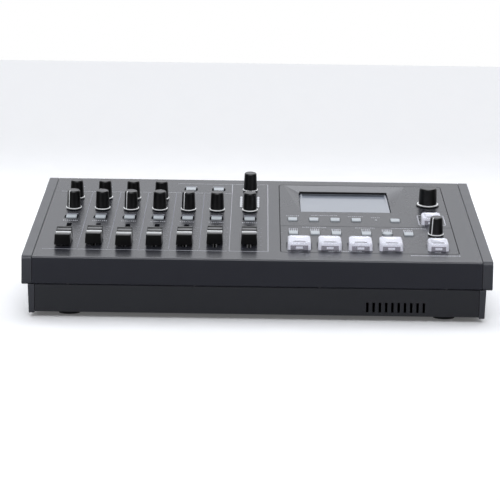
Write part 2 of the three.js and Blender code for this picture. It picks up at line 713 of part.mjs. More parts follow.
// The board at the rear, on its standoffs in the tray, with every socket
function buildSocketBoard() {
  const { x, y, z, standoff } = REAR_BOARD;
  const standoffZ = [TRAY_BOTTOM_Z + SHEET + GAP, z[0] + OVERLAP];
  return join(
    box(x, y, z),
    ...standoff.x.flatMap((postX) => {
      return standoff.y.map((postY) => post(postX, postY, standoffZ, standoff.radius, standoff.sides));
    }),
    ...MIC_SOCKET.x.map((socketX) => jackSocket(socketX, MIC_SOCKET)),
    ...LINE_SOCKET.x.map((socketX) => jackSocket(socketX, LINE_SOCKET)),
    ...VIDEO_SOCKET.x.map((socketX) => shellSocket(socketX, VIDEO_SOCKET)),
    ...DATA_SOCKET.x.map((socketX) => shellSocket(socketX, DATA_SOCKET)),
    ...POWER_INLET.x.map(powerInlet),
    powerSwitchHousing(),
  );
}

// The rocker is drawn level about its own axis, then laid over to its off side
function buildPowerRocker() {
  const { axisY, height, tilt, outline } = ROCKER;
  const body = slab(plainOutline(outline), around(0, height));
  return body.rotateZ(-tilt).translate(POWER_SWITCH.x, axisY, SOCKET_Z);
}

// ---- Assembly --------------------------------------------------------------------------------------

const cheek = buildCheek();
addPart('top_cover', buildTopCover(), finishes.paintedSteel);
addPart('bottom_tray', buildBottomTray(), finishes.darkPaint);
addPart('right_end_cheek', cheek, finishes.cheekPlastic);
addPart('left_end_cheek', mirrored(cheek), finishes.cheekPlastic);
addPart('control_fascia', buildFascia(), finishes.fasciaPlastic, deck);
addPart('display_module', buildDisplay(), finishes.displayGlass, deck);
addPart('panel_board', buildPanelBoard(), finishes.circuitBoard, deck);
addPart('socket_board', buildSocketBoard(), finishes.circuitBoard);

[['front', -1], ['rear', 1]].forEach(([end, ySign]) => {
  [['left', -1], ['right', 1]].forEach(([side, xSign]) => {
    addPart(`foot_${end}_${side}`, buildFoot(xSign * FOOT.x, ySign * FOOT.y), finishes.rubber);
  });
});

faders.forEach((fader) => addPart(fader.name, buildFader(fader), finishes.blackPlastic, deck));
[...mixerKnobs, ...panelKnobs].forEach((knob) => {
  addPart(knob.name, buildKnob(knob), finishes.blackPlastic, deck);
});
mixerButtons.forEach((button) => {
  addPart(button.name, buildButton(button, MIXER_KEY), finishes.greyKey, deck);
});
panelButtons.forEach((button) => {
  addPart(button.name, buildButton(button, PANEL_KEY), finishes.greyKey, deck);
});
largeButtons.forEach((button) => {
  addPart(button.name, buildButton(button, LARGE_KEY), finishes.clearKey, deck);
});
addPart('power_rocker', buildPowerRocker(), finishes.blackPlastic);

export default desk;
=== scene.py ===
"""Looks of a wedge-shaped desktop control desk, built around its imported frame.

Lengths inside the classes are millimetres on the sloping deck (u across, v up the slope, h out of the deck)
or in the desk's own frame, and every mesh is stored in metres in the desk's frame.
"""
import json
import logging
import math
from dataclasses import dataclass, field
from enum import Enum

import bmesh
import bpy
import numpy as np
from mathutils import Matrix, Vector


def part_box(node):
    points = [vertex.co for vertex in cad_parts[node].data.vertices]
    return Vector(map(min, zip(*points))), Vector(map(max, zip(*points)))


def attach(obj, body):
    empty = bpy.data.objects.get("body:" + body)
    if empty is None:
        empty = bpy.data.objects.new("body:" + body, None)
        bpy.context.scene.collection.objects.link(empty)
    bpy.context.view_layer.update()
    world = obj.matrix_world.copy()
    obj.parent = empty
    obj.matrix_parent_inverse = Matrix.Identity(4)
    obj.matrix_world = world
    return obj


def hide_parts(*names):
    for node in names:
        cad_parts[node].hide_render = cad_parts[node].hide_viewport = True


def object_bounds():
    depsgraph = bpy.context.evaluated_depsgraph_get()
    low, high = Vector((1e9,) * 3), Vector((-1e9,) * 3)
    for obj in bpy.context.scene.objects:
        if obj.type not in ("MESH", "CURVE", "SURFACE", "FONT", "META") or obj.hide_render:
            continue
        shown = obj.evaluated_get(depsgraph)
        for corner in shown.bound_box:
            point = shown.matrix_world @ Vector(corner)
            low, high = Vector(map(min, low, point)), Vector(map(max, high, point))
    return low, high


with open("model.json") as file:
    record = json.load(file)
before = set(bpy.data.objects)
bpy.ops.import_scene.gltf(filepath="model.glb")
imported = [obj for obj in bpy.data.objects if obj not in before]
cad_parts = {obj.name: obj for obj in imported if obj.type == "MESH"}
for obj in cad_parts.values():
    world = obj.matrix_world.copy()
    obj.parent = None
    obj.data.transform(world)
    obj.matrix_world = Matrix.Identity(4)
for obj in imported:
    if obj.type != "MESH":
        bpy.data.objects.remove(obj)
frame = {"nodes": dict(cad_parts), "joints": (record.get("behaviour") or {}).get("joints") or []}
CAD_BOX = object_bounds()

MM = 0.001
CHASSIS = "chassis"
JOINTS = {joint["child"]: joint for joint in frame["joints"]}
Outline = list[tuple[float, float]]
Bands = list[tuple[float, float, float, float]]
log = logging.getLogger("desk")


# ---- Surfaces --------------------------------------------------------------------------------------


@dataclass
class Surface:
    """A closed skin: its points in millimetres, and arrays of quads and triangles that index them."""

    points: np.ndarray
    quads: np.ndarray
    triangles: np.ndarray

    def volume(self) -> float:
        """Signed volume: the sum over triangles of a · (b × c) / 6.

        Returns:
            The volume in cubic millimetres, negative when the faces point inwards.
        """
        split = np.concatenate([self.triangles, self.quads[:, [0, 1, 2]], self.quads[:, [0, 2, 3]]])
        a, b, c = (self.points[split[:, i]] for i in range(3))
        return float(np.einsum("ij,ij->i", a, np.cross(b, c)).sum() / 6)

    def outward(self) -> "Surface":
        """Turns the faces outwards.

        Returns:
            The same skin with a positive volume.
        """
        if self.volume() >= 0:
            return self
        return Surface(self.points, self.quads[:, ::-1], self.triangles[:, ::-1])

    def mapped(self, points: np.ndarray) -> "Surface":
        """The same faces on other points."""
        return Surface(points, self.quads, self.triangles).outward()

    def moved(self, u: float, v: float) -> "Surface":
        """The skin carried along the deck."""
        return self.mapped(self.points + np.array([u, v, 0.0]))


def together(surfaces: list[Surface]) -> Surface:
    """Puts several skins into one mesh.

    Args:
        surfaces: The skins, which don't share points.

    Returns:
        One surface that holds them all.
    """
    starts = np.cumsum([0] + [len(s.points) for s in surfaces[:-1]])
    return Surface(
        np.concatenate([s.points for s in surfaces]),
        np.concatenate([s.quads + start for s, start in zip(surfaces, starts)]),
        np.concatenate([s.triangles + start for s, start in zip(surfaces, starts)]),
    )


def skin(rings: np.ndarray, looped: bool = False) -> Surface:
    """Joins ring after ring with quads: point (i, j) meets (i, j+1), (i+1, j+1) and (i+1, j).

    Args:
        rings: Points of shape (rings, points in a ring, 3).
        looped: Whether the last ring meets the first one; otherwise both end rings close on their middles.

    Returns:
        The closed surface, with its faces outwards.
    """
    rows, columns, _ = rings.shape
    grid = np.arange(rows * columns).reshape(rows, columns)
    if looped:
        grid = np.concatenate([grid, grid[:1]])
    following = np.roll(grid, -1, axis=1)
    quads = np.stack([grid[:-1], following[:-1], following[1:], grid[1:]], axis=-1).reshape(-1, 4)
    points = rings.reshape(-1, 3)
    triangles = np.zeros((0, 3), int)
    if not looped:
        ends = rings[[0, -1]].mean(axis=1)
        low, high = len(points), len(points) + 1
        first = np.stack([following[0], grid[0], np.full(columns, low)], axis=-1)
        last = np.stack([grid[-1], following[-1], np.full(columns, high)], axis=-1)
        points = np.concatenate([points, ends])
        triangles = np.concatenate([first, last])
    return Surface(points, quads, triangles).outward()


def eased(points: Outline, ease: float, steps: int = 4, closed: bool = False) -> np.ndarray:
    """Rounds the corners of a flat outline.

    Each corner Q becomes the curve (1-t)² P + 2t(1-t) Q + t² R, where P and R lie `ease` before and after it,
    or halfway along a shorter side.

    Args:
        points: The corners.
        ease: How far before and after a corner its curve starts and ends.
        steps: Number of pieces in each curve.
        closed: Whether the outline is a loop, whose first corner is rounded too.

    Returns:
        The outline's points, of shape (n, 2).
    """
    corners = np.asarray(points, float)
    middle = corners if closed else corners[1:-1]
    before = np.roll(corners, 1, axis=0) if closed else corners[:-2]
    after = np.roll(corners, -1, axis=0) if closed else corners[2:]
    to_before, to_after = before - middle, after - middle
    for arm in (to_before, to_after):
        length = np.linalg.norm(arm, axis=1, keepdims=True)
        arm *= np.minimum(ease, length / 2.02) / length
    t = np.linspace(0, 1, steps + 1)[None, :, None]
    start, end = (middle + to_before)[:, None], (middle + to_after)[:, None]
    curves = ((1 - t) ** 2 * start + 2 * t * (1 - t) * middle[:, None] + t**2 * end).reshape(-1, 2)
    return curves if closed else np.concatenate([corners[:1], curves, corners[-1:]])


def lathe(profile: np.ndarray, sides: int = 64, looped: bool = False) -> Surface:
    """Turns a profile about the h axis: (r, h) becomes (r cos a, r sin a, h).

    Args:
        profile: Points (radius, height), of shape (n, 2).
        sides: Number of steps round the circle.
        looped: Whether the profile closes on itself, as a ring's does.

    Returns:
        The turned surface.
    """
    angle = np.linspace(0, 2 * np.pi, sides, endpoint=False)
    radius, height = profile[:, :1], profile[:, 1:]
    rings = np.stack(np.broadcast_arrays(radius * np.cos(angle), radius * np.sin(angle), height), axis=-1)
    return skin(rings, looped)


def stack(levels: Bands, corner_steps: int = 5, looped: bool = False) -> Surface:
    """Stacks rounded rectangles: each corner is an arc about (±(a-r), ±(b-r)) of radius r.

    Args:
        levels: For each level its half-width a, half-depth b, corner radius r and height.
        corner_steps: Number of pieces in each corner's arc.
        looped: Whether the levels go round the section of a frame and meet again.

    Returns:
        The skin over all levels.
    """
    a, b, radius, height = (np.array(column, float)[:, None] for column in zip(*levels))
    radius = np.minimum(radius, np.minimum(a, b) * 0.98)
    arc = np.linspace(0, np.pi / 2, corner_steps + 1)
    angle = np.concatenate([arc + quarter * np.pi / 2 for quarter in range(4)])[None, :]
    side_u = np.repeat([1, -1, -1, 1], corner_steps + 1)[None, :]
    side_v = np.repeat([1, 1, -1, -1], corner_steps + 1)[None, :]
    u = side_u * (a - radius) + radius * np.cos(angle)
    v = side_v * (b - radius) + radius * np.sin(angle)
    return skin(np.stack(np.broadcast_arrays(u, v, height), axis=-1), looped)


def hoop(
    half_width: float,
    half_depth: float,
    corner: float,
    wall: float,
    low: float,
    high: float,
    soft: float = 0.15,
) -> Surface:
    """A rounded frame: its section (wall wide, low to high, eased by `soft`) goes round a rounded rectangle.

    Args:
        half_width: Outer half-width.
        half_depth: Outer half-depth.
        corner: Outer corner radius.
        wall: Width of the frame.
        low: Height of the underside.
        high: Height of the top.
        soft: Ease on the section's corners.

    Returns:
        The frame about its own middle.
    """
    section = eased([(-wall, low), (0, low), (0, high), (-wall, high)], soft, 3, closed=True)
    levels = [(half_width + o, half_depth + o, max(corner + o, 0.1), h) for o, h in section]
    return stack(levels, 6, looped=True)


def slab_levels(
    width: float,
    depth: float,
    corner: float,
    low: float,
    high: float,
    soft: float,
    draft: float = 0.0,
    steps: int = 4,
) -> Bands:
    """Levels of a block with a quarter-round top edge.

    Along the edge inset = draft + soft (1 - cos a) and height = high - soft (1 - sin a).

    Args:
        width: Size along u at the foot.
        depth: Size along v at the foot.
        corner: Corner radius seen from above.
        low: Height of the foot.
        high: Height of the top.
        soft: Radius of the top edge.
        draft: How much each side leans in from foot to top.
        steps: Number of pieces in the top edge.

    Returns:
        The levels, for `stack`.
    """
    arc = np.linspace(0, np.pi / 2, steps + 1)
    inset = draft + soft * (1 - np.cos(arc))
    height = high - soft * (1 - np.sin(arc))
    half_width, half_depth = width / 2, depth / 2
    edge = [(half_width - i, half_depth - i, max(corner - i, 0.15), h) for i, h in zip(inset, height)]
    return [(half_width, half_depth, corner, low)] + edge


def ribbon(
    path: np.ndarray, outward: np.ndarray, across: np.ndarray, width: float, thickness: float
) -> Surface:
    """A flat band along a path: each station's ring is path ± across · width/2 ± outward · thickness/2.

    Args:
        path: Stations along the band's middle, of shape (n, 3).
        outward: The band's normal at each station.
        across: The direction of its width at each station, or one for all.
        width: Width across the path.
        thickness: Thickness along the normal.

    Returns:
        The closed band.
    """
    across = np.broadcast_to(across, path.shape)
    signs = np.array([(-1, -1), (1, -1), (1, 1), (-1, 1)], float)
    rings = (
        path[:, None]
        + across[:, None] * signs[None, :, :1] * width / 2
        + outward[:, None] * signs[None, :, 1:] * thickness / 2
    )
    return skin(rings)


def carried(outline: np.ndarray, stations: np.ndarray, insets: np.ndarray) -> Surface:
    """Carries a closed (v, h) outline along u: at each station it is drawn in along its own normals.

    Args:
        outline: The closed outline, of shape (n, 2), counter-clockwise.
        stations: Places along u.
        insets: How far the outline is drawn in at each station.

    Returns:
        The closed bar.
    """
    tangent = np.roll(outline, -1, axis=0) - np.roll(outline, 1, axis=0)
    normal = np.stack([tangent[:, 1], -tangent[:, 0]], axis=-1)
    normal /= np.linalg.norm(normal, axis=1, keepdims=True)
    shrunk = outline[None] - normal[None] * insets[:, None, None]
    along = np.broadcast_to(stations[:, None, None], shrunk.shape[:2] + (1,))
    return skin(np.concatenate([along, shrunk], axis=-1))


def bars(rects: Bands, low: float, high: float) -> Surface:
    """Thin flat bars, eight corners each, all in one mesh.

    Args:
        rects: Each bar's low u, high u, low v and high v.
        low: Height of the undersides.
        high: Height of the tops.

    Returns:
        The bars.
    """
    low_u, high_u, low_v, high_v = np.asarray(rects, float).T
    around_u = np.stack([low_u, high_u, high_u, low_u], axis=1)
    around_v = np.stack([low_v, low_v, high_v, high_v], axis=1)
    rings = [np.stack([around_u, around_v, np.full_like(around_u, h)], axis=-1) for h in (low, high)]
    points = np.concatenate(rings, axis=1).reshape(-1, 3)
    one = np.array([(3, 2, 1, 0), (4, 5, 6, 7), (0, 1, 5, 4), (1, 2, 6, 5), (2, 3, 7, 6), (3, 0, 4, 7)])
    quads = (one[None] + 8 * np.arange(len(rects))[:, None, None]).reshape(-1, 4)
    return Surface(points, quads, np.zeros((0, 3), int))


# ---- The desk's frames -----------------------------------------------------------------------------


@dataclass(frozen=True)
class Deck:
    """The sloping deck as a frame of its own.

    Attributes:
        tilt: Slope of the deck, in radians.
        front_y: The front edge's place along Y, in millimetres.
        front_z: The front edge's height, in millimetres.
    """

    tilt: float
    front_y: float
    front_z: float

    @classmethod
    def from_frame(cls) -> "Deck":
        """Works the deck out from a knob's axis, which stands square on it."""
        joint = JOINTS["effect_knob"]
        _, normal_y, normal_z = joint["axis"]
        tilt = math.atan2(-normal_y, normal_z)
        _, y, z = (value / MM for value in joint["pos_m"])
        front_y = CAD_BOX[0][1] / MM
        return cls(tilt, front_y, z - (y - front_y) * math.tan(tilt))

    def axes(self) -> np.ndarray:
        """The deck's u, v and h directions as rows."""
        c, s = math.cos(self.tilt), math.sin(self.tilt)
        return np.array([(1, 0, 0), (0, c, s), (0, -s, c)])

    def origin(self) -> np.ndarray:
        """The middle of the front edge."""
        return np.array([0, self.front_y, self.front_z])

    def place(self, local: np.ndarray) -> np.ndarray:
        """Deck millimetres to desk metres."""
        return (local @ self.axes() + self.origin()) * MM

    def local(self, points: np.ndarray) -> np.ndarray:
        """Desk metres to deck millimetres."""
        return (points / MM - self.origin()) @ self.axes().T


@dataclass(frozen=True)
class Upright:
    """A frame whose h axis points along +X, -X, +Y, -Y, +Z or -Z of the desk.

    Attributes:
        origin: Place of the frame's origin, in millimetres.
        u_axis: Direction of u.
        h_axis: Direction of h.
    """

    origin: tuple[float, float, float]
    u_axis: tuple[float, float, float]
    h_axis: tuple[float, float, float]

    def place(self, local: np.ndarray) -> np.ndarray:
        """Local millimetres to desk metres."""
        u, h = np.array(self.u_axis, float), np.array(self.h_axis, float)
        return (local @ np.array([u, np.cross(h, u), h]) + np.array(self.origin)) * MM


def facing_rear(x: float, z: float, y: float) -> Upright:
    """A frame on the rear wall that looks out of the back of the desk."""
    return Upright((x, y, z), (-1, 0, 0), (0, 1, 0))


DECK = Deck.from_frame()


def deck_box(node: str) -> tuple[np.ndarray, np.ndarray]:
    """Lowest and highest (u, v, h) of a CAD node, in millimetres.

    Args:
        node: The CAD node's name.

    Returns:
        Its two corners in the deck's frame.
    """
    mesh = frame["nodes"][node].data
    points = np.empty(len(mesh.vertices) * 3)
    mesh.vertices.foreach_get("co", points)
    local = DECK.local(points.reshape(-1, 3))
    return local.min(axis=0), local.max(axis=0)


# ---- Finishes --------------------------------------------------------------------------------------


def linear(colour: str) -> tuple[float, float, float, float]:
    """Turns an sRGB hex colour into linear light.

    Args:
        colour: Six hex digits.

    Returns:
        Red, green, blue and an alpha of one.
    """
    values = [int(colour[i : i + 2], 16) / 255 for i in (0, 2, 4)]
    red, green, blue = (v / 12.92 if v <= 0.04045 else ((v + 0.055) / 1.055) ** 2.4 for v in values)
    return red, green, blue, 1.0


def add_node(
    tree: bpy.types.NodeTree, kind: str, settings: dict | None = None, links: dict | None = None
) -> bpy.types.Node:
    """Adds a node with its settings and links.

    Args:
        tree: The node tree.
        kind: Blender's name for the node's type.
        settings: Values by property name or input name.
        links: Output sockets by input name or number.

    Returns:
        The new node.
    """
    made = tree.nodes.new(kind)
    for name, value in (settings or {}).items():
        if isinstance(name, str) and hasattr(made, name):
            setattr(made, name, value)
        else:
            made.inputs[name].default_value = value
    for name, socket in (links or {}).items():
        tree.links.new(socket, made.inputs[name])
    return made


class Slot(Enum):
    """The record's material slots."""

    DECK = "painted_steel"
    TRAY = "dark_painted_steel"
    CHEEK = "cheek_plastic"
    FASCIA = "fascia_plastic"
    BLACK = "black_plastic"
    KEY = "grey_key"
    CLEAR = "clear_key"
    DISPLAY = "display_glass"
    BOARD = "circuit_board"
    RUBBER = "rubber"
    WHITE = "white_trim"
    METAL = "bright_metal"


@dataclass(frozen=True)
class Finish:
    """A surface finish: what the part is made of and how its surface was made.

    Attributes:
        name: The material's name.
        slot: The record's slot that it belongs to.
        colour: sRGB hex colour.
        roughness: Mean roughness.
        metallic: One for bare metal.
        ior: Index of refraction.
        grain_mm: Size of the surface grain.
        grain_height_mm: Height of the grain.
        mottle: Share by which the colour changes over the piece.
        mottle_mm: Distance over which it changes.
        gloss_change: How far the roughness changes with handling.
        coat: Weight of a clear coat.
        transmission: Share of light let through.
        glow: Emission strength, in the finish's own colour.
    """

    name: str
    slot: Slot
    colour: str
    roughness: float
    metallic: float = 0.0
    ior: float = 1.5
    grain_mm: float = 0.5
    grain_height_mm: float = 0.01
    mottle: float = 0.06
    mottle_mm: float = 40.0
    gloss_change: float = 0.05
    coat: float = 0.0
    transmission: float = 0.0
    glow: float = 0.0

    def tone(self, share: float) -> list[float]:
        """The colour, made darker or lighter by a share."""
        return [min(value * share, 1.0) for value in linear(self.colour)[:3]] + [1.0]

    def material(self) -> bpy.types.Material:
        """Builds the node material once and hands out the same one after that.

        Slow noise moves the colour between a darker and a lighter tone, quicker noise spreads the roughness
        over mean ± change, and fine noise is a bump of the grain's real height.

        Returns:
            The material.
        """
        made = bpy.data.materials.get(self.name)
        if made:
            return made
        made = bpy.data.materials.new(self.name)
        made.use_nodes = True
        tree = made.node_tree
        tree.nodes.clear()
        place = add_node(tree, "ShaderNodeTexCoord").outputs["Object"]
        noises = (
            {"Scale": 1 / (self.mottle_mm * MM), "Detail": 3.0},
            {"Scale": 2.5 / (self.mottle_mm * MM), "Detail": 4.0},
            {"Scale": 1 / (self.grain_mm * MM), "Detail": 2.0},
        )
        drift, wear, grain = (
            add_node(tree, "ShaderNodeTexNoise", noise, {"Vector": place}).outputs["Fac"] for noise in noises
        )
        tones = {"data_type": "RGBA", 6: self.tone(1 - self.mottle), 7: self.tone(1 + self.mottle)}
        colour = add_node(tree, "ShaderNodeMix", tones, {0: drift}).outputs[2]
        limits = {
            "To Min": max(self.roughness - self.gloss_change, 0.02),
            "To Max": self.roughness + self.gloss_change,
        }
        roughness = add_node(tree, "ShaderNodeMapRange", limits, {"Value": wear}).outputs["Result"]
        relief = {"Strength": 0.8, "Distance": self.grain_height_mm * MM}
        normal = add_node(tree, "ShaderNodeBump", relief, {"Height": grain}).outputs["Normal"]
        shader = add_node(
            tree,
            "ShaderNodeBsdfPrincipled",
            {
                "Metallic": self.metallic,
                "IOR": self.ior,
                "Coat Weight": self.coat,
                "Coat Roughness": 0.08,
                "Transmission Weight": self.transmission,
                "Emission Color": linear(self.colour),
                "Emission Strength": self.glow,
            },
            {"Base Color": colour, "Roughness": roughness, "Normal": normal},
        )
        add_node(tree, "ShaderNodeOutputMaterial", {}, {"Surface": shader.outputs["BSDF"]})
        return made


class Finishes(Enum):
    """The finishes on the desk."""

    # Powder coat baked on steel sheet: a half-gloss skin with a slight orange peel about a millimetre across.
    DECK_PAINT = Finish(
        "powder_coated_steel_grey", Slot.DECK, "26272d", 0.26,
        grain_mm=0.9, grain_height_mm=0.0015, mottle=0.04, gloss_change=0.02,
    )
    # The tray's coat is the same powder in a flatter charcoal.
    TRAY_PAINT = Finish(
        "powder_coated_steel_charcoal", Slot.TRAY, "25262a", 0.36,
        grain_mm=0.9, grain_height_mm=0.002, gloss_change=0.03,
    )
    # ABS moulded in a spark-eroded tool: an even, matt leather-like grain of about half a millimetre.
    CHEEK_PLASTIC = Finish(
        "moulded_abs_textured_grey", Slot.CHEEK, "333439", 0.36, grain_mm=0.55, grain_height_mm=0.008
    )
    # ABS moulded in a finely blasted tool and painted to match the deck.
    FASCIA_PLASTIC = Finish(
        "moulded_abs_satin_grey", Slot.FASCIA, "26272d", 0.27,
        grain_height_mm=0.0015, mottle=0.04, gloss_change=0.02,
    )
    # Black ABS knobs and caps, satin from the tool and polished by fingers.
    BLACK_PLASTIC = Finish("moulded_abs_black", Slot.BLACK, "060607", 0.3, grain_mm=0.3, grain_height_mm=0.004)
    # Two-shot white trim.
    WHITE_TRIM = Finish(
        "moulded_white_trim", Slot.WHITE, "f2f3f2", 0.35, grain_mm=0.3, grain_height_mm=0.003, mottle=0.02
    )
    # Screen-printed light grey ink, flat and slightly chalky.
    PRINT_INK = Finish(
        "screen_print_light_grey", Slot.WHITE, "b4b5bb", 0.6,
        grain_mm=0.2, grain_height_mm=0.002, mottle=0.08, mottle_mm=6,
    )
    # The same ink thinned, for the scales and the separators between the channels.
    FAINT_INK = Finish(
        "screen_print_mid_grey", Slot.WHITE, "74757d", 0.55,
        grain_mm=0.2, grain_height_mm=0.002, mottle=0.08, mottle_mm=6,
    )
    # Light grey polycarbonate key caps with a fine satin face.
    KEY_PLASTIC = Finish(
        "moulded_polycarbonate_light_grey", Slot.KEY, "aeb4b8", 0.36,
        grain_mm=0.3, grain_height_mm=0.004, mottle=0.02,
    )
    # Clear acrylic outer caps: smooth, glossy and slightly milky.
    CLEAR_CAP = Finish(
        "clear_acrylic_cap", Slot.CLEAR, "f2f2fb", 0.1,
        ior=1.49, transmission=0.8, grain_mm=2, grain_height_mm=0.001, mottle=0.01, gloss_change=0.02,
    )
    # White diffuser under the clear caps, with a painted glow: it glows in its own colour though no lamp lights
    # it, in place of the light that reaches it through the clear cap.
    DIFFUSER_PAINTED_GLOW = Finish("opal_acrylic_diffuser_painted_glow", Slot.CLEAR, "f1f2f6", 0.5, mottle=0.02, glow=0.27)
    # Painted shade: a pale pinkish-grey plate behind each clear cap's front wall, in place of the shade in the
    # cavity under the diffuser.
    CAVITY_SHADE = Finish("painted_cavity_shade_grey", Slot.CLEAR, "a09aa2", 0.5, grain_mm=0.4, mottle=0.03)
    # Painted shade: a dark band on each clear cap, in place of the shade of the finger dish's front step.
    CREASE_SHADE = Finish(
        "clear_acrylic_crease", Slot.CLEAR, "3e3f49", 0.3, grain_mm=0.4, mottle=0.03, grain_height_mm=0.002
    )
    # Level lamps: small water-clear lenses over white light.
    LAMP_LENS = Finish("light_pipe_lens", Slot.CLEAR, "d2d4d8", 0.25, mottle=0.02, grain_height_mm=0.002)
    # Liquid crystal behind a polished lens: flat blue-grey under a clear coat.
    DISPLAY_GLASS = Finish(
        "liquid_crystal_under_lens", Slot.DISPLAY, "7c838e", 0.35, mottle=0.02, coat=0.6, grain_height_mm=0.0005
    )
    # The viewing area's printed edge, a little lighter than the liquid crystal.
    DISPLAY_EDGE = Finish(
        "liquid_crystal_edge_print", Slot.DISPLAY, "868b93", 0.35, mottle=0.02, coat=0.6, grain_height_mm=0.0005
    )
    # Painted shade: a black sheet in the gap round the fascia and along the rear wall of the display's well,
    # where there is only shade.
    GAP_SHADE = Finish("painted_gap_shade_black", Slot.BLACK, "040405", 0.9, grain_height_mm=0.02)
    # Black solder mask over a glass-fibre board.
    BOARD = Finish(
        "solder_mask_black", Slot.BOARD, "0b0d0c", 0.45,
        grain_mm=1.5, grain_height_mm=0.02, mottle=0.12, mottle_mm=8,
    )
    # Black nylon socket bodies with a fine matt face.
    SOCKET_PLASTIC = Finish(
        "moulded_nylon_black", Slot.BLACK, "0e0e10", 0.5, grain_mm=0.4, grain_height_mm=0.008
    )
    # Nickel-plated steel shells, nuts and contacts.
    NICKEL = Finish(
        "nickel_plated_steel", Slot.METAL, "b9b8b4", 0.22,
        metallic=1.0, grain_mm=0.4, grain_height_mm=0.002, mottle=0.05,
    )
    # Gilt spring contacts.
    GILT = Finish(
        "gold_flash_contact", Slot.METAL, "c9a04e", 0.25, metallic=1.0, grain_mm=0.4, grain_height_mm=0.002
    )
    # Blackened steel screws: dark oxide.
    BLACK_SCREW = Finish(
        "black_oxide_steel", Slot.METAL, "2a2a2c", 0.38, metallic=0.8, grain_mm=0.3, grain_height_mm=0.006
    )
    # Moulded rubber feet, matt and slightly dusty.
    RUBBER = Finish(
        "moulded_rubber_black", Slot.RUBBER, "17171a", 0.85,
        grain_mm=0.6, grain_height_mm=0.03, mottle=0.15, mottle_mm=10,
    )
    # Seamless studio paper.
    STUDIO_PAPER = Finish(
        "studio_paper_white", Slot.WHITE, "f8f8f8", 0.9, grain_mm=3, grain_height_mm=0.0, glow=0.1
    )


# ---- Making pieces ---------------------------------------------------------------------------------

# Points of a CAD mesh that lie closer than this are one point, in metres
MERGE_DISTANCE = 2e-6
# Faces that turn by less than this are one flat face; edges that turn by more than the other are eased
FLAT_DEGREES = 0.8
EDGE_DEGREES = 32.0
# Underside and top of a film of ink
INK_LAYER = (-0.02, 0.03)


def placed(name: str, data: bpy.types.ID) -> bpy.types.Object:
    """A new object in the scene, at the origin and unturned."""
    made = bpy.data.objects.new(name, data)
    bpy.context.scene.collection.objects.link(made)
    return made


def make_piece(
    name: str,
    surface: Surface,
    finish: Finishes,
    place: Deck | Upright = DECK,
    body: str = CHASSIS,
    stands_for: str = "",
    sharp_degrees: float = 35.0,
) -> None:
    """Puts a surface into a mesh object, dresses it and lets it ride on a body.

    Args:
        name: The piece's name.
        surface: Its surface, in millimetres in the frame `place`.
        finish: Its finish, which also says its slot.
        place: The frame that the surface was drawn in.
        body: The CAD body that carries it.
        stands_for: The CAD node that it replaces, if any.
        sharp_degrees: Edges that turn by more than this stay crisp.
    """
    mesh = bpy.data.meshes.new(name)
    faces = [surface.quads, surface.triangles]
    corners = np.concatenate([f.reshape(-1) for f in faces]).astype(np.int32)
    totals = np.concatenate([np.full(len(f), f.shape[1], np.int32) for f in faces])
    starts = np.concatenate([[0], np.cumsum(totals)[:-1]]).astype(np.int32)
    mesh.vertices.add(len(surface.points))
    mesh.vertices.foreach_set("co", place.place(surface.points).astype(np.float32).reshape(-1))
    mesh.loops.add(len(corners))
    mesh.loops.foreach_set("vertex_index", corners)
    mesh.polygons.add(len(totals))
    mesh.polygons.foreach_set("loop_start", starts)
    mesh.polygons.foreach_set("loop_total", totals)
    mesh.polygons.foreach_set("use_smooth", np.ones(len(totals), bool))
    mesh.update(calc_edges=True)
    mesh.set_sharp_from_angle(angle=math.radians(sharp_degrees))
    mesh.materials.append(finish.value.material())
    piece = placed(name, mesh)
    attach(piece, body)
    if stands_for:
        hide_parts(stands_for)


def print_bars(name: str, rects: Bands, ink: Finishes, place: Deck | Upright = DECK) -> None:
    """Prints flat bars as a thin film of ink."""
    make_piece(name, bars(rects, *INK_LAYER), ink, place)


def eased_copy(node: str, edge_mm: float, finish: Finishes, segments: int = 2) -> None:
    """Copies a CAD node, merges its loose triangles into flat faces and eases its edges.

    Args:
        node: The CAD node, which the copy stands for.
        edge_mm: Width of the eased edges.
        finish: The copy's finish, which also says its slot.
        segments: Pieces across an eased edge.
    """
    mesh = frame["nodes"][node].data.copy()
    work = bmesh.new()
    work.from_mesh(mesh)
    bmesh.ops.remove_doubles(work, verts=work.verts, dist=MERGE_DISTANCE)
    flat_angle = math.radians(FLAT_DEGREES)
    bmesh.ops.dissolve_limit(
        work, angle_limit=flat_angle, verts=work.verts, edges=work.edges, use_dissolve_boundaries=False
    )
    for face in work.faces:
        face.smooth = True
    work.to_mesh(mesh)
    work.free()
    dress(mesh, finish)
    copy = placed(f"{node}_skin", mesh)
    bevel = copy.modifiers.new("eased_edges", "BEVEL")
    bevel.width = edge_mm * MM
    bevel.segments = segments
    bevel.limit_method = "ANGLE"
    bevel.angle_limit = math.radians(EDGE_DEGREES)
    bevel.harden_normals = True
    mesh.set_sharp_from_angle(angle=math.radians(EDGE_DEGREES))
    flat = copy.modifiers.new("flat_faces", "WEIGHTED_NORMAL")
    flat.mode = "FACE_AREA"
    flat.weight = 100
    flat.keep_sharp = True
    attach(copy, CHASSIS)
    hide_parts(node)


def dress(mesh: bpy.types.Mesh, finish: Finishes) -> None:
    """Gives a mesh one finish all over."""
    mesh.materials.clear()
    mesh.materials.append(finish.value.material())


# ---- Camera, light and floor -----------------------------------------------------------------------


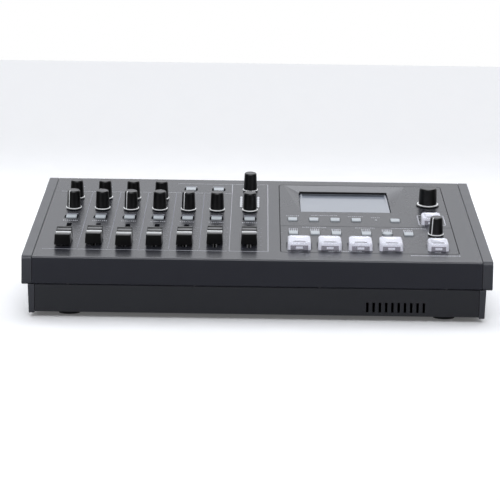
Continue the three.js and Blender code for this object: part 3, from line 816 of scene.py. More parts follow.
@dataclass
class Studio:
    """Camera, lights and floor.

    Attributes:
        focal_mm: Lens length.
        sensor_mm: Width of the sensor.
        azimuth: Camera direction round the desk, in degrees.
        elevation: Camera height above the horizontal, in degrees.
        roll: Turn of the picture, in degrees.
        distance: From the camera to the target, in millimetres.
        target: The point looked at, in millimetres.
        view_limit: How far the camera sees, in metres.
        front_level: Brightness of the surroundings in front of the desk.
        rear_level: Brightness of the surroundings behind the desk.
        light_tint: Colour of the lights.
        floor_half: Half the width of the floor, in millimetres.
        floor_thickness: Thickness of the floor, in millimetres.
    """

    focal_mm: float = 143.2
    sensor_mm: float = 36.0
    azimuth: float = 0.163
    elevation: float = 8.214
    roll: float = 0.793
    distance: float = 1698.6
    target: tuple[float, float, float] = (-6.27, 0.0, 40.51)
    view_limit: float = 20.0
    front_level: float = 0.1
    rear_level: float = 0.24
    light_tint: tuple[float, float, float] = (0.93, 0.95, 1.0)
    floor_half: float = 4000.0
    floor_thickness: float = 5.0

    def place_camera(self) -> None:
        """Builds the camera from its direction: it looks back along (sin a cos e, -cos a cos e, sin e)."""
        a, e, roll = (math.radians(value) for value in (self.azimuth, self.elevation, self.roll))
        back = Vector((math.sin(a) * math.cos(e), -math.cos(a) * math.cos(e), math.sin(e)))
        right = (-back).cross(Vector((0, 0, 1))).normalized()
        up = right.cross(-back)
        turned_right = math.cos(roll) * right + math.sin(roll) * up
        turned_up = -math.sin(roll) * right + math.cos(roll) * up
        data = bpy.data.cameras.new("camera")
        data.lens = self.focal_mm
        data.sensor_width = self.sensor_mm
        data.clip_end = self.view_limit
        camera = placed("camera", data)
        turn = Matrix((turned_right, turned_up, back)).transposed().to_4x4()
        camera.matrix_world = Matrix.Translation((Vector(self.target) + back * self.distance) * MM) @ turn
        bpy.context.scene.camera = camera

    def add_lamp(self, name: str, kind: str, energy: float) -> bpy.types.Object:
        """A light of the studio's tint, not yet aimed."""
        data = bpy.data.lights.new(name, kind)
        data.energy = energy
        data.color = self.light_tint
        return placed(name, data)

    def add_soft_box(
        self,
        name: str,
        place: tuple[float, float, float],
        size: tuple[float, float],
        power: float,
        target: tuple[float, float, float] = (0.0, 0.0, 0.05),
    ) -> None:
        """Adds a soft rectangular light that faces the desk and stays out of the picture.

        Args:
            name: Its name.
            place: Its place, in metres.
            size: Its width and height, in metres.
            power: Its power, in watts.
            target: The point it faces, in metres.
        """
        light = self.add_lamp(name, "AREA", power)
        light.data.shape = "RECTANGLE"
        light.data.size, light.data.size_y = size
        light.visible_camera = False
        aim = Vector(target) - Vector(place)
        light.matrix_world = Matrix.Translation(place) @ aim.to_track_quat("-Z", "Y").to_matrix().to_4x4()

    def add_overhead(self, name: str, strength: float, spread: float, lean: float) -> None:
        """Adds an even, broad light from above.

        Args:
            name: Its name.
            strength: Its irradiance, in watts per square metre.
            spread: Angle that it fills, in degrees.
            lean: Its lean from straight above towards the front, in degrees; negative towards the rear.
        """
        light = self.add_lamp(name, "SUN", strength)
        light.data.angle = math.radians(spread)
        light.rotation_euler = (math.radians(lean), 0, 0)

    def surround(self) -> None:
        """Makes the surroundings: white where the camera sees them, else dim in front and brighter behind."""
        world = bpy.data.worlds.new("studio")
        bpy.context.scene.world = world
        world.use_nodes = True
        tree = world.node_tree
        tree.nodes.clear()
        direction = add_node(tree, "ShaderNodeTexCoord").outputs["Generated"]
        split = add_node(tree, "ShaderNodeSeparateXYZ", {}, {"Vector": direction})
        fade = add_node(
            tree,
            "ShaderNodeMapRange",
            {"From Min": -0.2, "From Max": 0.5, "To Min": self.front_level, "To Max": self.rear_level},
            {"Value": split.outputs["Y"]},
        )
        seen = add_node(tree, "ShaderNodeLightPath").outputs["Is Camera Ray"]
        lit = add_node(tree, "ShaderNodeBackground", {}, {"Strength": fade.outputs["Result"]})
        backdrop = add_node(tree, "ShaderNodeBackground", {"Strength": 1.0})
        for background in (lit, backdrop):
            background.inputs["Color"].default_value = (1, 1, 1, 1)
        both = add_node(tree, "ShaderNodeMixShader", {}, {0: seen, 1: lit.outputs[0], 2: backdrop.outputs[0]})
        add_node(tree, "ShaderNodeOutputWorld", {}, {"Surface": both.outputs[0]})

    def light(self) -> None:
        """Lights the desk as a product table does: soft boxes above the rear, a little fill from the front."""
        self.add_soft_box("rear_soft_box", (0, 0.75, 0.3), (2.2, 0.6), 3.5, (0, 0, 0.15))
        self.add_soft_box("upper_rear_soft_box", (0, 0.62, 0.78), (2.2, 0.45), 4.3)
        self.add_soft_box("left_strip", (-0.72, -1.0, 0.25), (0.6, 0.5), 1.6)
        self.add_soft_box("right_strip", (0.72, -1.0, 0.25), (0.6, 0.5), 1.2)
        self.add_overhead("overhead_rear", 1.35, 50, -22)
        self.add_overhead("overhead_front", 1.6, 40, 48)
        bpy.context.scene.view_settings.view_transform = "Standard"

    def lay_floor(self) -> None:
        """Lays a wide sheet of studio paper under the desk; gloss on the desk doesn't pick it up."""
        half = self.floor_half
        sheet = bars([(-half, half, -half, half)], -self.floor_thickness, 0.0)
        mesh = bpy.data.meshes.new("floor")
        mesh.from_pydata((sheet.points * MM).tolist(), [], sheet.quads.tolist())
        dress(mesh, Finishes.STUDIO_PAPER)
        floor = placed("floor", mesh)
        floor.visible_glossy = False

    def build(self) -> None:
        """Sets up everything around the desk."""
        self.place_camera()
        self.surround()
        self.light()
        self.lay_floor()
        log.info("studio ready")


# ---- Case ------------------------------------------------------------------------------------------


class ScrewKind(Enum):
    """Head radius, head height and recess arm of each screw, in millimetres."""

    PAN = (2.7, 1.5, 1.7)
    SEAM = (1.6, 0.5, 0.95)


@dataclass
class Screws:
    """Cross-recess screws in the case.

    Attributes:
        name: Name of the group, used for each screw.
        kind: Their size.
        places: A frame for each screw, with h out of the surface.
    """

    name: str
    kind: ScrewKind
    places: list[Upright]

    def surface(self) -> Surface:
        """A domed head with a cross recess.

        The head is turned. The recess rim follows r(a) = the larger of min(L/|cos a|, w/|sin a|) and
        min(L/|sin a|, w/|cos a|), the outline of a cross with arms of length L and half-width w.

        Returns:
            The screw, standing on h = 0.
        """
        radius, height, arm = self.kind.value
        angle = np.linspace(0, 2 * np.pi, 48, endpoint=False) + 0.01
        cos, sin = np.abs(np.cos(angle)), np.abs(np.sin(angle))
        half = arm * 0.26
        cross = np.maximum(np.minimum(arm / cos, half / sin), np.minimum(arm / sin, half / cos))
        rings = [(radius * 0.5, -1.6), (radius * 0.5, -0.05), (radius, -0.05), (radius, height * 0.25)]
        rings += [(radius * math.cos(t), height * (0.25 + 0.75 * math.sin(t))) for t in (0.35, 0.6, 0.8)]
        outer = [np.full_like(angle, r) for r, _ in rings] + [cross, cross * 0.62]
        heights = [h for _, h in rings] + [height * 0.93, height * 0.15]
        points = [
            np.stack([r * np.cos(angle), r * np.sin(angle), np.full_like(angle, h)], axis=-1)
            for r, h in zip(outer, heights)
        ]
        return skin(np.array(points))

    def build(self) -> None:
        """Makes every screw as a piece of its own."""
        surface = self.surface()
        for number, place in enumerate(self.places, 1):
            make_piece(f"{self.name}_{number}", surface, Finishes.BLACK_SCREW, place, sharp_degrees=30)


def facing_down(x: float, y: float, z: float) -> Upright:
    """A frame that looks out of the underside."""
    return Upright((x, y, z), (1, 0, 0), (0, 0, -1))


@dataclass
class Case:
    """The steel cover and tray, the end cheeks and the feet. Lengths are in millimetres.

    Attributes:
        sheet_edge: Ease on the edges of the painted sheet.
        cheek_edge: Ease on the edges of the moulded cheeks.
        foot_radius: Radius of a foot at the tray.
        foot_recess: Depth of the recess under a foot.
        seam_x: Places of the seam screws across the front.
        rear_x: Places of the rear screws across the wall.
        rear_z: Heights of the two rows of rear screws.
        tray_x: Places of the tray's screws across the desk.
        tray_y: Places of the tray's screws along its depth.
    """

    sheet_edge: float = 0.5
    cheek_edge: float = 1.5
    foot_radius: float = 9.9
    foot_recess: float = 2.5
    seam_x: tuple[float, ...] = (-151.2, -50.0, 50.0, 151.2)
    rear_x: tuple[float, ...] = (-172, -112, 0, 112, 172)
    rear_z: tuple[float, ...] = (52.0, 72.0)
    tray_x: tuple[float, ...] = (-165, -55, 55, 165)
    tray_y: tuple[float, ...] = (-80, 56, 84)

    def build(self) -> None:
        """Dresses the case and puts its screws in."""
        eased_copy("top_cover", self.sheet_edge, Finishes.DECK_PAINT)
        eased_copy("bottom_tray", self.sheet_edge, Finishes.TRAY_PAINT)
        for side in ("left", "right"):
            eased_copy(f"{side}_end_cheek", self.cheek_edge, Finishes.CHEEK_PLASTIC, 4)
        for end in ("front", "rear"):
            for side in ("left", "right"):
                self.add_foot(f"foot_{end}_{side}")
        self.add_screws()
        log.info("case ready")

    def add_foot(self, node: str) -> None:
        """Makes a turned rubber foot with a recess underneath, and the screw in it.

        Args:
            node: The foot's CAD node.
        """
        low, high = (np.array(corner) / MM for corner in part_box(node))
        x, y, _ = (low + high) / 2
        radius, recess, height = self.foot_radius, self.foot_recess, high[2] - low[2]
        outline = [(0.4, recess), (3.5, recess), (3.7, 0), (radius - 1.2, 0), (radius, height), (0.4, height)]
        place = Upright((x, y, low[2]), (1, 0, 0), (0, 0, 1))
        pad = lathe(eased(outline, 0.7, 4), 64)
        make_piece(f"{node}_pad", pad, Finishes.RUBBER, place, stands_for=node)
        Screws(f"{node}_screw", ScrewKind.PAN, [facing_down(x, y, low[2] + recess - 0.05)]).build()

    def add_screws(self) -> None:
        """Screws along the front seam, on the rear wall and under the tray."""
        front_y = CAD_BOX[0][1] / MM
        tray_low, tray_high = (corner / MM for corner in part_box("bottom_tray"))
        seam_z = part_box("top_cover")[0].z / MM - 0.4
        seam = [Upright((x, front_y + 0.5, seam_z), (1, 0, 0), (0, -1, 0)) for x in self.seam_x]
        Screws("seam_screw", ScrewKind.SEAM, seam).build()
        rear = [facing_rear(x, z, tray_high.y) for x in self.rear_x for z in self.rear_z]
        Screws("rear_screw", ScrewKind.PAN, rear).build()
        under = [facing_down(x, y, tray_low.z) for x in self.tray_x for y in self.tray_y]
        Screws("tray_screw", ScrewKind.PAN, under).build()


# ---- Knobs -----------------------------------------------------------------------------------------

# A turned profile starts this far from its axis, and the middle closes it
AXIS_RADIUS = 0.4


def tube(inner: float, outer: float, low: float, high: float) -> Outline:
    """Section of a plain ring."""
    return [(inner, low), (outer, low), (outer, high), (inner, high)]


class KnobKind(Enum):
    """Skirt, ring, foot and top radius and height of each knob, in millimetres."""

    SMALL = (6.35, 6.7, 6.0, 5.25, 16.6)
    ENCODER = (10.0, 9.3, 7.9, 7.35, 16.2)
    SIDE = (6.3, 6.6, 6.0, 4.95, 15.8)


@dataclass
class Knob:
    """A push-on knob: black body with its shaft, white base ring and, on a pot, a white pointer line.

    Attributes:
        node: The CAD node that it stands for, which is also its body's name.
        kind: Its size.
        skirt_low: Height of the skirt's underside above the deck.
        ring_low: Height of the ring's underside.
        ring_height: Height of the ring itself.
        pointer_width: Width of the pointer line.
        shoulder: Width of the eased edge between the side and the top.
        shaft: Radius of the shaft and the height of its lower end.
    """

    node: str
    kind: KnobKind
    skirt_low: float = 0.5
    ring_low: float = 1.0
    ring_height: float = 0.8
    pointer_width: float = 0.85
    shoulder: float = 0.85
    shaft: tuple[float, float] = (3.0, -8.0)

    def side(self) -> Outline:
        """The side's upper end and the top's outer edge, which the pointer follows too."""
        _, _, _, top, height = self.kind.value
        return [(top + 0.1, height - self.shoulder), (top - self.shoulder + 0.25, height)]

    def body_profile(self) -> np.ndarray:
        """Half section of the body from the shaft's end, round the skirt and up the leaning side to the top."""
        skirt, _, foot, top, height = self.kind.value
        shaft_radius, shaft_low = self.shaft
        outline = [
            (AXIS_RADIUS, shaft_low),
            (shaft_radius, shaft_low),
            (shaft_radius, self.skirt_low),
            (skirt, self.skirt_low),
            (skirt, self.ring_low + 0.15),
            (foot, self.ring_low + 0.35),
            *self.side(),
            (top - 1.2, height),
            (top - 1.45, height - 0.15),
            (AXIS_RADIUS, height - 0.2),
        ]
        return eased(outline, 0.4, 4)

    def ring_profile(self) -> np.ndarray:
        """Closed section of the white ring that sits round the foot."""
        _, ring, foot, _, _ = self.kind.value
        low, high = self.ring_low, self.ring_low + self.ring_height
        inner = foot - 0.25
        outline = [(inner, low), (ring, low), (ring, high - 0.25), (ring - 0.4, high), (inner, high)]
        return eased(outline, 0.2, 3, closed=True)

    def pointer(self) -> Surface:
        """A band up the side and over the top edge, along the body's own section.

        Returns:
            The band for a pointer at twelve o'clock.
        """
        _, _, foot, top, height = self.kind.value
        low = self.ring_low + self.ring_height - 0.1
        section = eased([(foot - 0.03, low), *self.side(), (top - 1.25, height)], 0.4, 4)
        path = np.stack([np.zeros(len(section)), section[:, 0], section[:, 1]], axis=-1)
        along = np.gradient(section, axis=0)
        along /= np.linalg.norm(along, axis=1, keepdims=True)
        outward = np.stack([np.zeros(len(section)), along[:, 1], -along[:, 0]], axis=-1)
        return ribbon(path, outward, np.array([1.0, 0, 0]), self.pointer_width, 0.14)

    def build(self) -> None:
        """Makes the body, the ring and the pointer, and turns the pointer to its rest angle."""
        joint = JOINTS[self.node]
        u, v, _ = DECK.local(np.array(joint["pos_m"], float))
        body = lathe(self.body_profile(), 72).moved(u, v)
        make_piece(f"{self.node}_body", body, Finishes.BLACK_PLASTIC, body=self.node, stands_for=self.node)
        ring = lathe(self.ring_profile(), 72, looped=True).moved(u, v)
        make_piece(f"{self.node}_ring", ring, Finishes.WHITE_TRIM, body=self.node)
        limits = joint.get("range_deg")
        if limits:
            clockwise = math.radians(sum(limits) / 2)
            c, s = math.cos(clockwise), math.sin(clockwise)
            band = self.pointer()
            turned = band.points @ np.array([(c, -s, 0), (s, c, 0), (0, 0, 1)])
            pointer = band.mapped(turned).moved(u, v)
            make_piece(f"{self.node}_pointer", pointer, Finishes.WHITE_TRIM, body=self.node)


# ---- Faders ----------------------------------------------------------------------------------------


@dataclass
class Fader:
    """A fader: black cap with a stepped finger dish, a raised white index line and a steel stem.

    Attributes:
        node: The CAD node that it stands for, which is also its body's name.
        width: Width of the cap at its foot.
        base: Height of the cap's foot above the deck.
        dish: Height of the dish beside the index line.
        rim: Height of the end rims.
        lean: How far each side leans in from foot to rim.
        line: Width and height of the raised index line.
        line_low: Height of the lower end of the line's band down each side.
        stem: Width, length and lower end of the stem.
        soft: Radius of the cap's side edges.
    """

    node: str
    width: float = 13.4
    base: float = 1.5
    dish: float = 7.8
    rim: float = 10.3
    lean: float = 0.65
    line: tuple[float, float] = (1.6, 9.15)
    line_low: float = 4.0
    stem: tuple[float, float, float] = (1.6, 6.4, -7.4)
    soft: float = 0.5

    def outline(self) -> np.ndarray:
        """Side section of the cap, counter-clockwise: steep ends, flat rims, and finger steps to the dish."""
        half = [(11.9, self.base), (11.2, self.rim - 0.4), (10.8, self.rim), (9.6, self.rim)]
        half += [(9.3, self.dish + 1.6), (5.1, self.dish + 1.2), (4.8, self.dish + 0.3), (0.9, self.dish)]
        return eased(half + [(-v, h) for v, h in reversed(half)], 0.22, 3, closed=True)

    def half_width(self, height: float) -> float:
        """Half the cap's width at a height."""
        return self.width / 2 - self.lean * (height - self.base) / (self.rim - self.base)

    def cap(self) -> Surface:
        """The cap: its outline carried across, with rounded side edges, then narrowed towards the rim.

        Returns:
            The cap about its own middle.
        """
        arc = np.linspace(0, np.pi / 2, 5)
        edge_u = self.width / 2 - self.soft + self.soft * np.sin(arc)
        edge_in = self.soft * (1 - np.cos(arc))
        stations = np.concatenate([-edge_u[::-1], edge_u])
        insets = np.concatenate([edge_in[::-1], edge_in])
        plain = carried(self.outline(), stations, insets)
        drafted = plain.points.copy()
        share = self.lean / (self.width / 2) * (drafted[:, 2] - self.base) / (self.rim - self.base)
        drafted[:, 0] *= 1 - share
        return plain.mapped(drafted)

    def index_line(self) -> Surface:
        """The white insert: a raised bar across the dish, and a thin band down both sides of the cap.

        Returns:
            The insert about the cap's middle.
        """
        width, top = self.line
        side, foot, half = width / 2, self.dish - 0.4, self.half_width(top)
        outline = [(-side, foot), (side, foot), (side - 0.1, top), (0.1 - side, top)]
        section = eased(outline, 0.2, 3, closed=True)
        stations = np.array([-half, -half + 0.15, half - 0.15, half])
        bar = carried(section, stations, np.array([0.12, 0, 0, 0.12]))
        path = np.array([(-self.half_width(h), 0, h) for h in (self.line_low, self.dish)])
        band = ribbon(path, np.tile([-1.0, 0, 0], (2, 1)), np.array([0, 1.0, 0]), width, 0.14)
        return together([bar, band, band.mapped(band.points * np.array([-1, 1, 1]))])

    def build(self) -> None:
        """Makes the cap, the index line and the stem."""
        low, high = deck_box(self.node)
        u, v = (low[:2] + high[:2]) / 2
        cap = self.cap().moved(u, v)
        make_piece(
            f"{self.node}_cap",
            cap,
            Finishes.BLACK_PLASTIC,
            body=self.node,
            stands_for=self.node,
            sharp_degrees=28,
        )
        make_piece(f"{self.node}_line", self.index_line().moved(u, v), Finishes.WHITE_TRIM, body=self.node)
        width, length, foot = self.stem
        stem = stack(slab_levels(width, length, 0.3, foot, self.base + 0.6, 0.2)).moved(u, v)
        make_piece(f"{self.node}_stem", stem, Finishes.NICKEL, body=self.node)


# ---- Buttons ---------------------------------------------------------------------------------------

# Upper face of a key's flange under the deck: keys over the mixer circuit end above STEM_SPLIT, the others
# below it
MIXER_FLANGE = -2.2
PANEL_FLANGE = -4.8
STEM_SPLIT = -7.0
FLANGE_THICKNESS = 1.0


@dataclass
class SmallButton:
    """A light grey key cap on a black carrier with a retaining flange and stem.

    Attributes:
        node: The CAD node that it stands for, which is also its body's name.
        side_margin: How far the flange sticks out beyond the cap at each side.
        end_margin: How far it sticks out at the front and the rear.
        corner: Corner radius seen from above.
        soft: Radius of the top edge.
        stem: Half-width of the stem.
    """

    node: str
    side_margin: float = 0.8
    end_margin: float = 0.8
    corner: float = 0.9
    soft: float = 0.45
    stem: float = 1.1

    def build(self) -> None:
        """Makes the cap and its carrier."""
        low, high = deck_box(self.node)
        u, v = (low[:2] + high[:2]) / 2
        width = high[0] - low[0] - 2 * self.side_margin
        depth = high[1] - low[1] - 2 * self.end_margin
        top, foot = high[2], low[2]
        flange = MIXER_FLANGE if foot > STEM_SPLIT else PANEL_FLANGE
        cap = slab_levels(width, depth, self.corner, flange, top, self.soft)
        rim = self.soft + 0.5
        cap += [(width / 2 - rim, depth / 2 - rim, 0.3, top), (0.5, 0.4, 0.2, top - 0.12)]
        surface = stack(cap).moved(u, v)
        make_piece(f"{self.node}_cap", surface, Finishes.KEY_PLASTIC, body=self.node, stands_for=self.node)
        wide, deep = (high - low)[:2] / 2
        under = flange - FLANGE_THICKNESS
        carrier = [(self.stem, self.stem, 0.2, foot), (self.stem, self.stem, 0.2, under)]
        carrier += [(wide, deep, 0.5, under), (wide, deep, 0.5, flange - 0.02)]
        surface = stack(carrier).moved(u, v)
        make_piece(f"{self.node}_carrier", surface, Finishes.SOCKET_PLASTIC, body=self.node)


@dataclass
class LargeButton:
    """An illuminated key: clear cap over a white diffuser with a painted glow; in front, a pale grey plate of
    painted shade, a window with the same painted glow, and a dark band of painted shade on the cap.

    Attributes:
        node: The CAD node that it stands for, which is also its body's name.
        corner: Corner radius seen from above.
        soft: Radius of the cap's top edge.
        wall: Thickness of the clear wall.
        margin: How far the carrier's flange sticks out beyond the cap.
        shade_block_top: Height of the pale grey plate of painted shade.
        window: Half-width, underside and top of the window with the painted glow.
        stem: Half-width of the stem.
    """

    node: str
    corner: float = 3.6
    soft: float = 1.9
    wall: float = 0.9
    margin: float = 0.8
    shade_block_top: float = 3.4
    window: tuple[float, float, float] = (2.8, 0.7, 2.6)
    stem: float = 3.0

    def add(self, part: str, surface: Surface, finish: Finishes, stands_for: str = "") -> None:
        """Adds a piece of the key."""
        make_piece(f"{self.node}_{part}", surface, finish, body=self.node, stands_for=stands_for)

    def build(self) -> None:
        """Makes the clear cap, the diffuser with its painted glow, the plate of painted shade with its glowing
        window, the band of painted shade on the cap, and the carrier with its stem.
        """
        low, high = deck_box(self.node)
        u, v = (low[:2] + high[:2]) / 2
        width, depth = (high - low)[:2] - 2 * self.margin
        top = high[2]
        clear = slab_levels(width, depth, self.corner, -2.6, top, self.soft, draft=0.5, steps=7)
        rim_u, rim_v = width / 2 - self.soft - 0.8, depth / 2 - self.soft - 0.8
        clear += [(rim_u, rim_v, 1.6, top), (rim_u - 0.5, rim_v - 0.5, 1.4, top - 0.3), (1, 1, 0.5, top - 0.45)]
        self.add("clear_cap", stack(clear, 8).moved(u, v), Finishes.CLEAR_CAP, self.node)
        inner_w, inner_d = width - 2 * self.wall - 0.4, depth - 2 * self.wall - 0.4
        # Painted glow: the diffuser glows in its own colour though no lamp lights it.
        diffuser = slab_levels(inner_w, inner_d, self.corner - 1, -2.4, top - 0.9, 1.2, draft=0.4)
        self.add("diffuser", stack(diffuser, 6).moved(u, v), Finishes.DIFFUSER_PAINTED_GLOW)
        front = v - depth / 2 + self.wall
        half = width / 2 - 2.8
        # Painted shade: the pale grey plate stands in for the shade in the cavity under the diffuser.
        block = bars([(u - half, u + half, front + 0.05, front + 1.6)], -2.3, self.shade_block_top)
        self.add("cavity_shade_block", block, Finishes.CAVITY_SHADE)
        # Painted glow: the window has the diffuser's glowing finish.
        half, window_low, window_high = self.window
        window = bars([(u - half, u + half, front - 0.1, front + 0.3)], window_low, window_high)
        self.add("painted_glow_window", window, Finishes.DIFFUSER_PAINTED_GLOW)
        # Painted shade: a dark band on the cap stands in for the shade of the dish's front step.
        self.add("crease", self.crease(width, top).moved(u, v - depth / 2), Finishes.CREASE_SHADE)
        wide, deep = width / 2 + self.margin, depth / 2 + self.margin
        neck_u, neck_v, under = width / 2 - 0.4, depth / 2 - 0.4, PANEL_FLANGE - FLANGE_THICKNESS
        carrier = [(self.stem, self.stem, 0.4, low[2]), (self.stem, self.stem, 0.4, under)]
        carrier += [(wide, deep, 0.6, under), (wide, deep, 0.6, PANEL_FLANGE)]
        carrier += [(neck_u, neck_v, 1.5, PANEL_FLANGE), (neck_u, neck_v, 1.5, -2.7)]
        self.add("carrier", stack(carrier).moved(u, v), Finishes.SOCKET_PLASTIC)

    def crease(self, width: float, top: float) -> Surface:
        """A dark band of painted shade along the finger dish's front step: a shallow arc v = 2.4 - (u / 9)²
        lying on the cap.

        Args:
            width: Width of the key.
            top: Height of the cap.

        Returns:
            The arc, about the middle of the key's front edge.
        """
        across = np.linspace(-0.25, 0.25, 13) * width
        path = np.stack([across, 2.4 - (across / 9) ** 2, np.full_like(across, top - 0.02)], axis=-1)
        along = np.gradient(path, axis=0)
        along /= np.linalg.norm(along, axis=1, keepdims=True)
        upward = np.tile([0.0, 0.0, 1.0], (len(path), 1))
        return ribbon(path, upward, np.cross(upward, along), 1.1, 0.08)


# ---- Print, lamps and display ----------------------------------------------------------------------

STRIPS = ("1", "2", "3", "4", "5", "6", "master")
CHANNEL_KEYS = [f"channel_button_{n}" for n in STRIPS] + ["source_button_5", "source_button_6"]


def across(low_u: float, high_u: float, v: float, width: float) -> tuple[float, float, float, float]:
    """A printed line across the deck."""
    return low_u, high_u, v - width / 2, v + width / 2


def up(u: float, low_v: float, high_v: float, width: float) -> tuple[float, float, float, float]:
    """A printed line up the slope."""
    return u - width / 2, u + width / 2, low_v, high_v


@dataclass
class DeckPrint:
    """Screen-printed frame lines, separators, scale ticks and plain dashes in place of labels.

    Attributes:
        line: Width of a frame line.
        mixer_left: Left end of the mixer's frame.
        mixer_split: Line between the channels and the master strip.
        master_right: Right edge of the master strip's frame.
        low: Front line of the frame.
        middle: Line behind the gain knobs.
        high: Rear line of the frame.
        travel: Lower end and length of a fader's scale.
        dash_pitch: Distance between the dashes that stand for letters.
        fascia_labels: Left end, right end and middle up the slope of each label on the fascia.
        bracket_u: Left and right side of the bracket round the take key.
        bracket_v: Front and rear end of the bracket.
    """

    line: float = 0.55
    mixer_left: float = -174.0
    mixer_split: float = -22.9
    master_right: float = 8.6
    low: float = 20.4
    middle: float = 183.5
    high: float = 212.0
    travel: tuple[float, float] = (37.0, 45.0)
    dash_pitch: float = 1.45
    fascia_labels: tuple[tuple[float, float, float], ...] = (
        (24.0, 35.4, 119.3),
        (45.5, 67.8, 121.6),
        (77.0, 90.0, 119.4),
        (96.6, 104.3, 117.0),
        (37.2, 57.4, 87.4),
        (81.7, 98.5, 87.4),
        (112.0, 141.3, 87.4),
        (57.0, 84.6, 24.0),
        (143.6, 148.8, 24.5),
    )
    bracket_u: tuple[float, float] = (136.5, 158.6)
    bracket_v: tuple[float, float] = (98.0, 124.8)

    def frame_lines(self) -> Bands:
        """The frames round the channels and the master strip."""
        return [
            across(self.mixer_left, self.mixer_split - 2, self.low, self.line),
            across(self.mixer_split, self.master_right, self.low, self.line),
            across(self.mixer_left, self.mixer_split, self.middle, self.line),
            across(-72.0, self.master_right, self.high, self.line),
            up(self.mixer_split, self.middle, self.high, self.line),
            up(self.mixer_split, self.low, self.middle, 0.35),
            up(self.master_right, self.low, self.high, self.line),
        ]

    def scale_ticks(self, u: float) -> Bands:
        """A fader's scale: a tick every eighth of the travel and a longer mark every quarter.

        Args:
            u: The fader's place across the deck.

        Returns:
            The marks.
        """
        start, length = self.travel
        steps = start + length * np.linspace(0, 1, 9)
        ticks = [across(u + 6.9, u + 8.3, v, 0.4) for v in steps]
        return ticks + [across(u + 8.9, u + 10.3, v, 0.9) for v in steps[::2]]

    def label(self, low_u: float, high_u: float, v: float, height: float = 1.3) -> Bands:
        """A row of short dashes that stands for a printed label.

        Args:
            low_u: Left end of the label.
            high_u: Right end of the label.
            v: Middle of the label up the slope.
            height: Its height.

        Returns:
            The dashes, every third one shorter.
        """
        count = max(int((high_u - low_u) / self.dash_pitch), 1)
        middles = low_u + (np.arange(count) + 0.5) * (high_u - low_u) / count
        wide = np.where(np.arange(count) % 3 == 1, 0.7, 1.0)
        return [(m - w / 2, m + w / 2, v - height / 2, v + height / 2) for m, w in zip(middles, wide)]

    def fascia_marks(self) -> Bands:
        """Labels round the keys on the fascia and the bracket round the take key."""
        rects = [dash for place in self.fascia_labels for dash in self.label(*place)]
        for number in range(1, 7):
            low, high = deck_box(f"function_button_{number}")
            for row in (0, 1):
                rects += self.label(low[0] + 0.6, high[0] - 0.6, high[1] + 3.2 + 3.4 * row, 2.6)
        (left, right), (front, rear) = self.bracket_u, self.bracket_v
        for side, ends in ((left, (left, left + 3.0)), (right, (right - 3.0, right))):
            rects.append(up(side, front, rear, 0.8))
            rects += [across(*ends, v, 0.8) for v in (front, rear)]
        return rects

    def build(self) -> None:
        """Prints everything on the deck and the fascia as thin films of ink."""
        boxes = [deck_box(f"fader_{n}") for n in STRIPS]
        fader_u = [(low[0] + high[0]) / 2 for low, high in boxes]
        rects = self.frame_lines()
        for u in fader_u:
            rects += self.label(u - 6.5, u + 6.5, 97.7)
        for u in fader_u[:4]:
            rects += self.label(u - 4, u + 4, 199.0)
        rects += self.label(123.4, 163.6, 15.7, 2.0)
        print_bars("deck_print", rects, Finishes.PRINT_INK)
        keys = [deck_box(node) for node in CHANNEL_KEYS]
        faint = [across(low[0] + 1.3, high[0] - 1.3, high[1] + 3.8, 2.9) for low, high in keys]
        faint += [up((a + b) / 2, self.low + 3, self.middle, 0.7) for a, b in zip(fader_u[:5], fader_u[1:6])]
        for u in fader_u:
            faint += self.scale_ticks(u)
        print_bars("deck_faint_print", faint, Finishes.FAINT_INK)
        print_bars("fascia_print", self.fascia_marks(), Finishes.PRINT_INK)
        log.info("print ready")


@dataclass
class LevelStrip:
    """A column of small lamp lenses beside the master knobs.

    Attributes:
        name: The strip's name.
        u: Its place across the deck.
        front: Front end of the first lens.
        rear: Rear end of the last lens.
        count: Number of lenses.
        width: Width of a lens.
    """

    name: str
    u: float
    front: float = 141.0
    rear: float = 173.6
    count: int = 5
    width: float = 2.2

    def build(self) -> None:
        """Makes each lens as a low rounded block standing through the deck."""
        pitch = (self.rear - self.front) / self.count
        lens = stack(slab_levels(self.width, pitch - 1.1, 0.9, -1.0, 0.55, 0.4))
        for number in range(self.count):
            v = self.front + (number + 0.5) * pitch
            make_piece(f"{self.name}_{number + 1}", lens.moved(self.u, v), Finishes.LAMP_LENS)


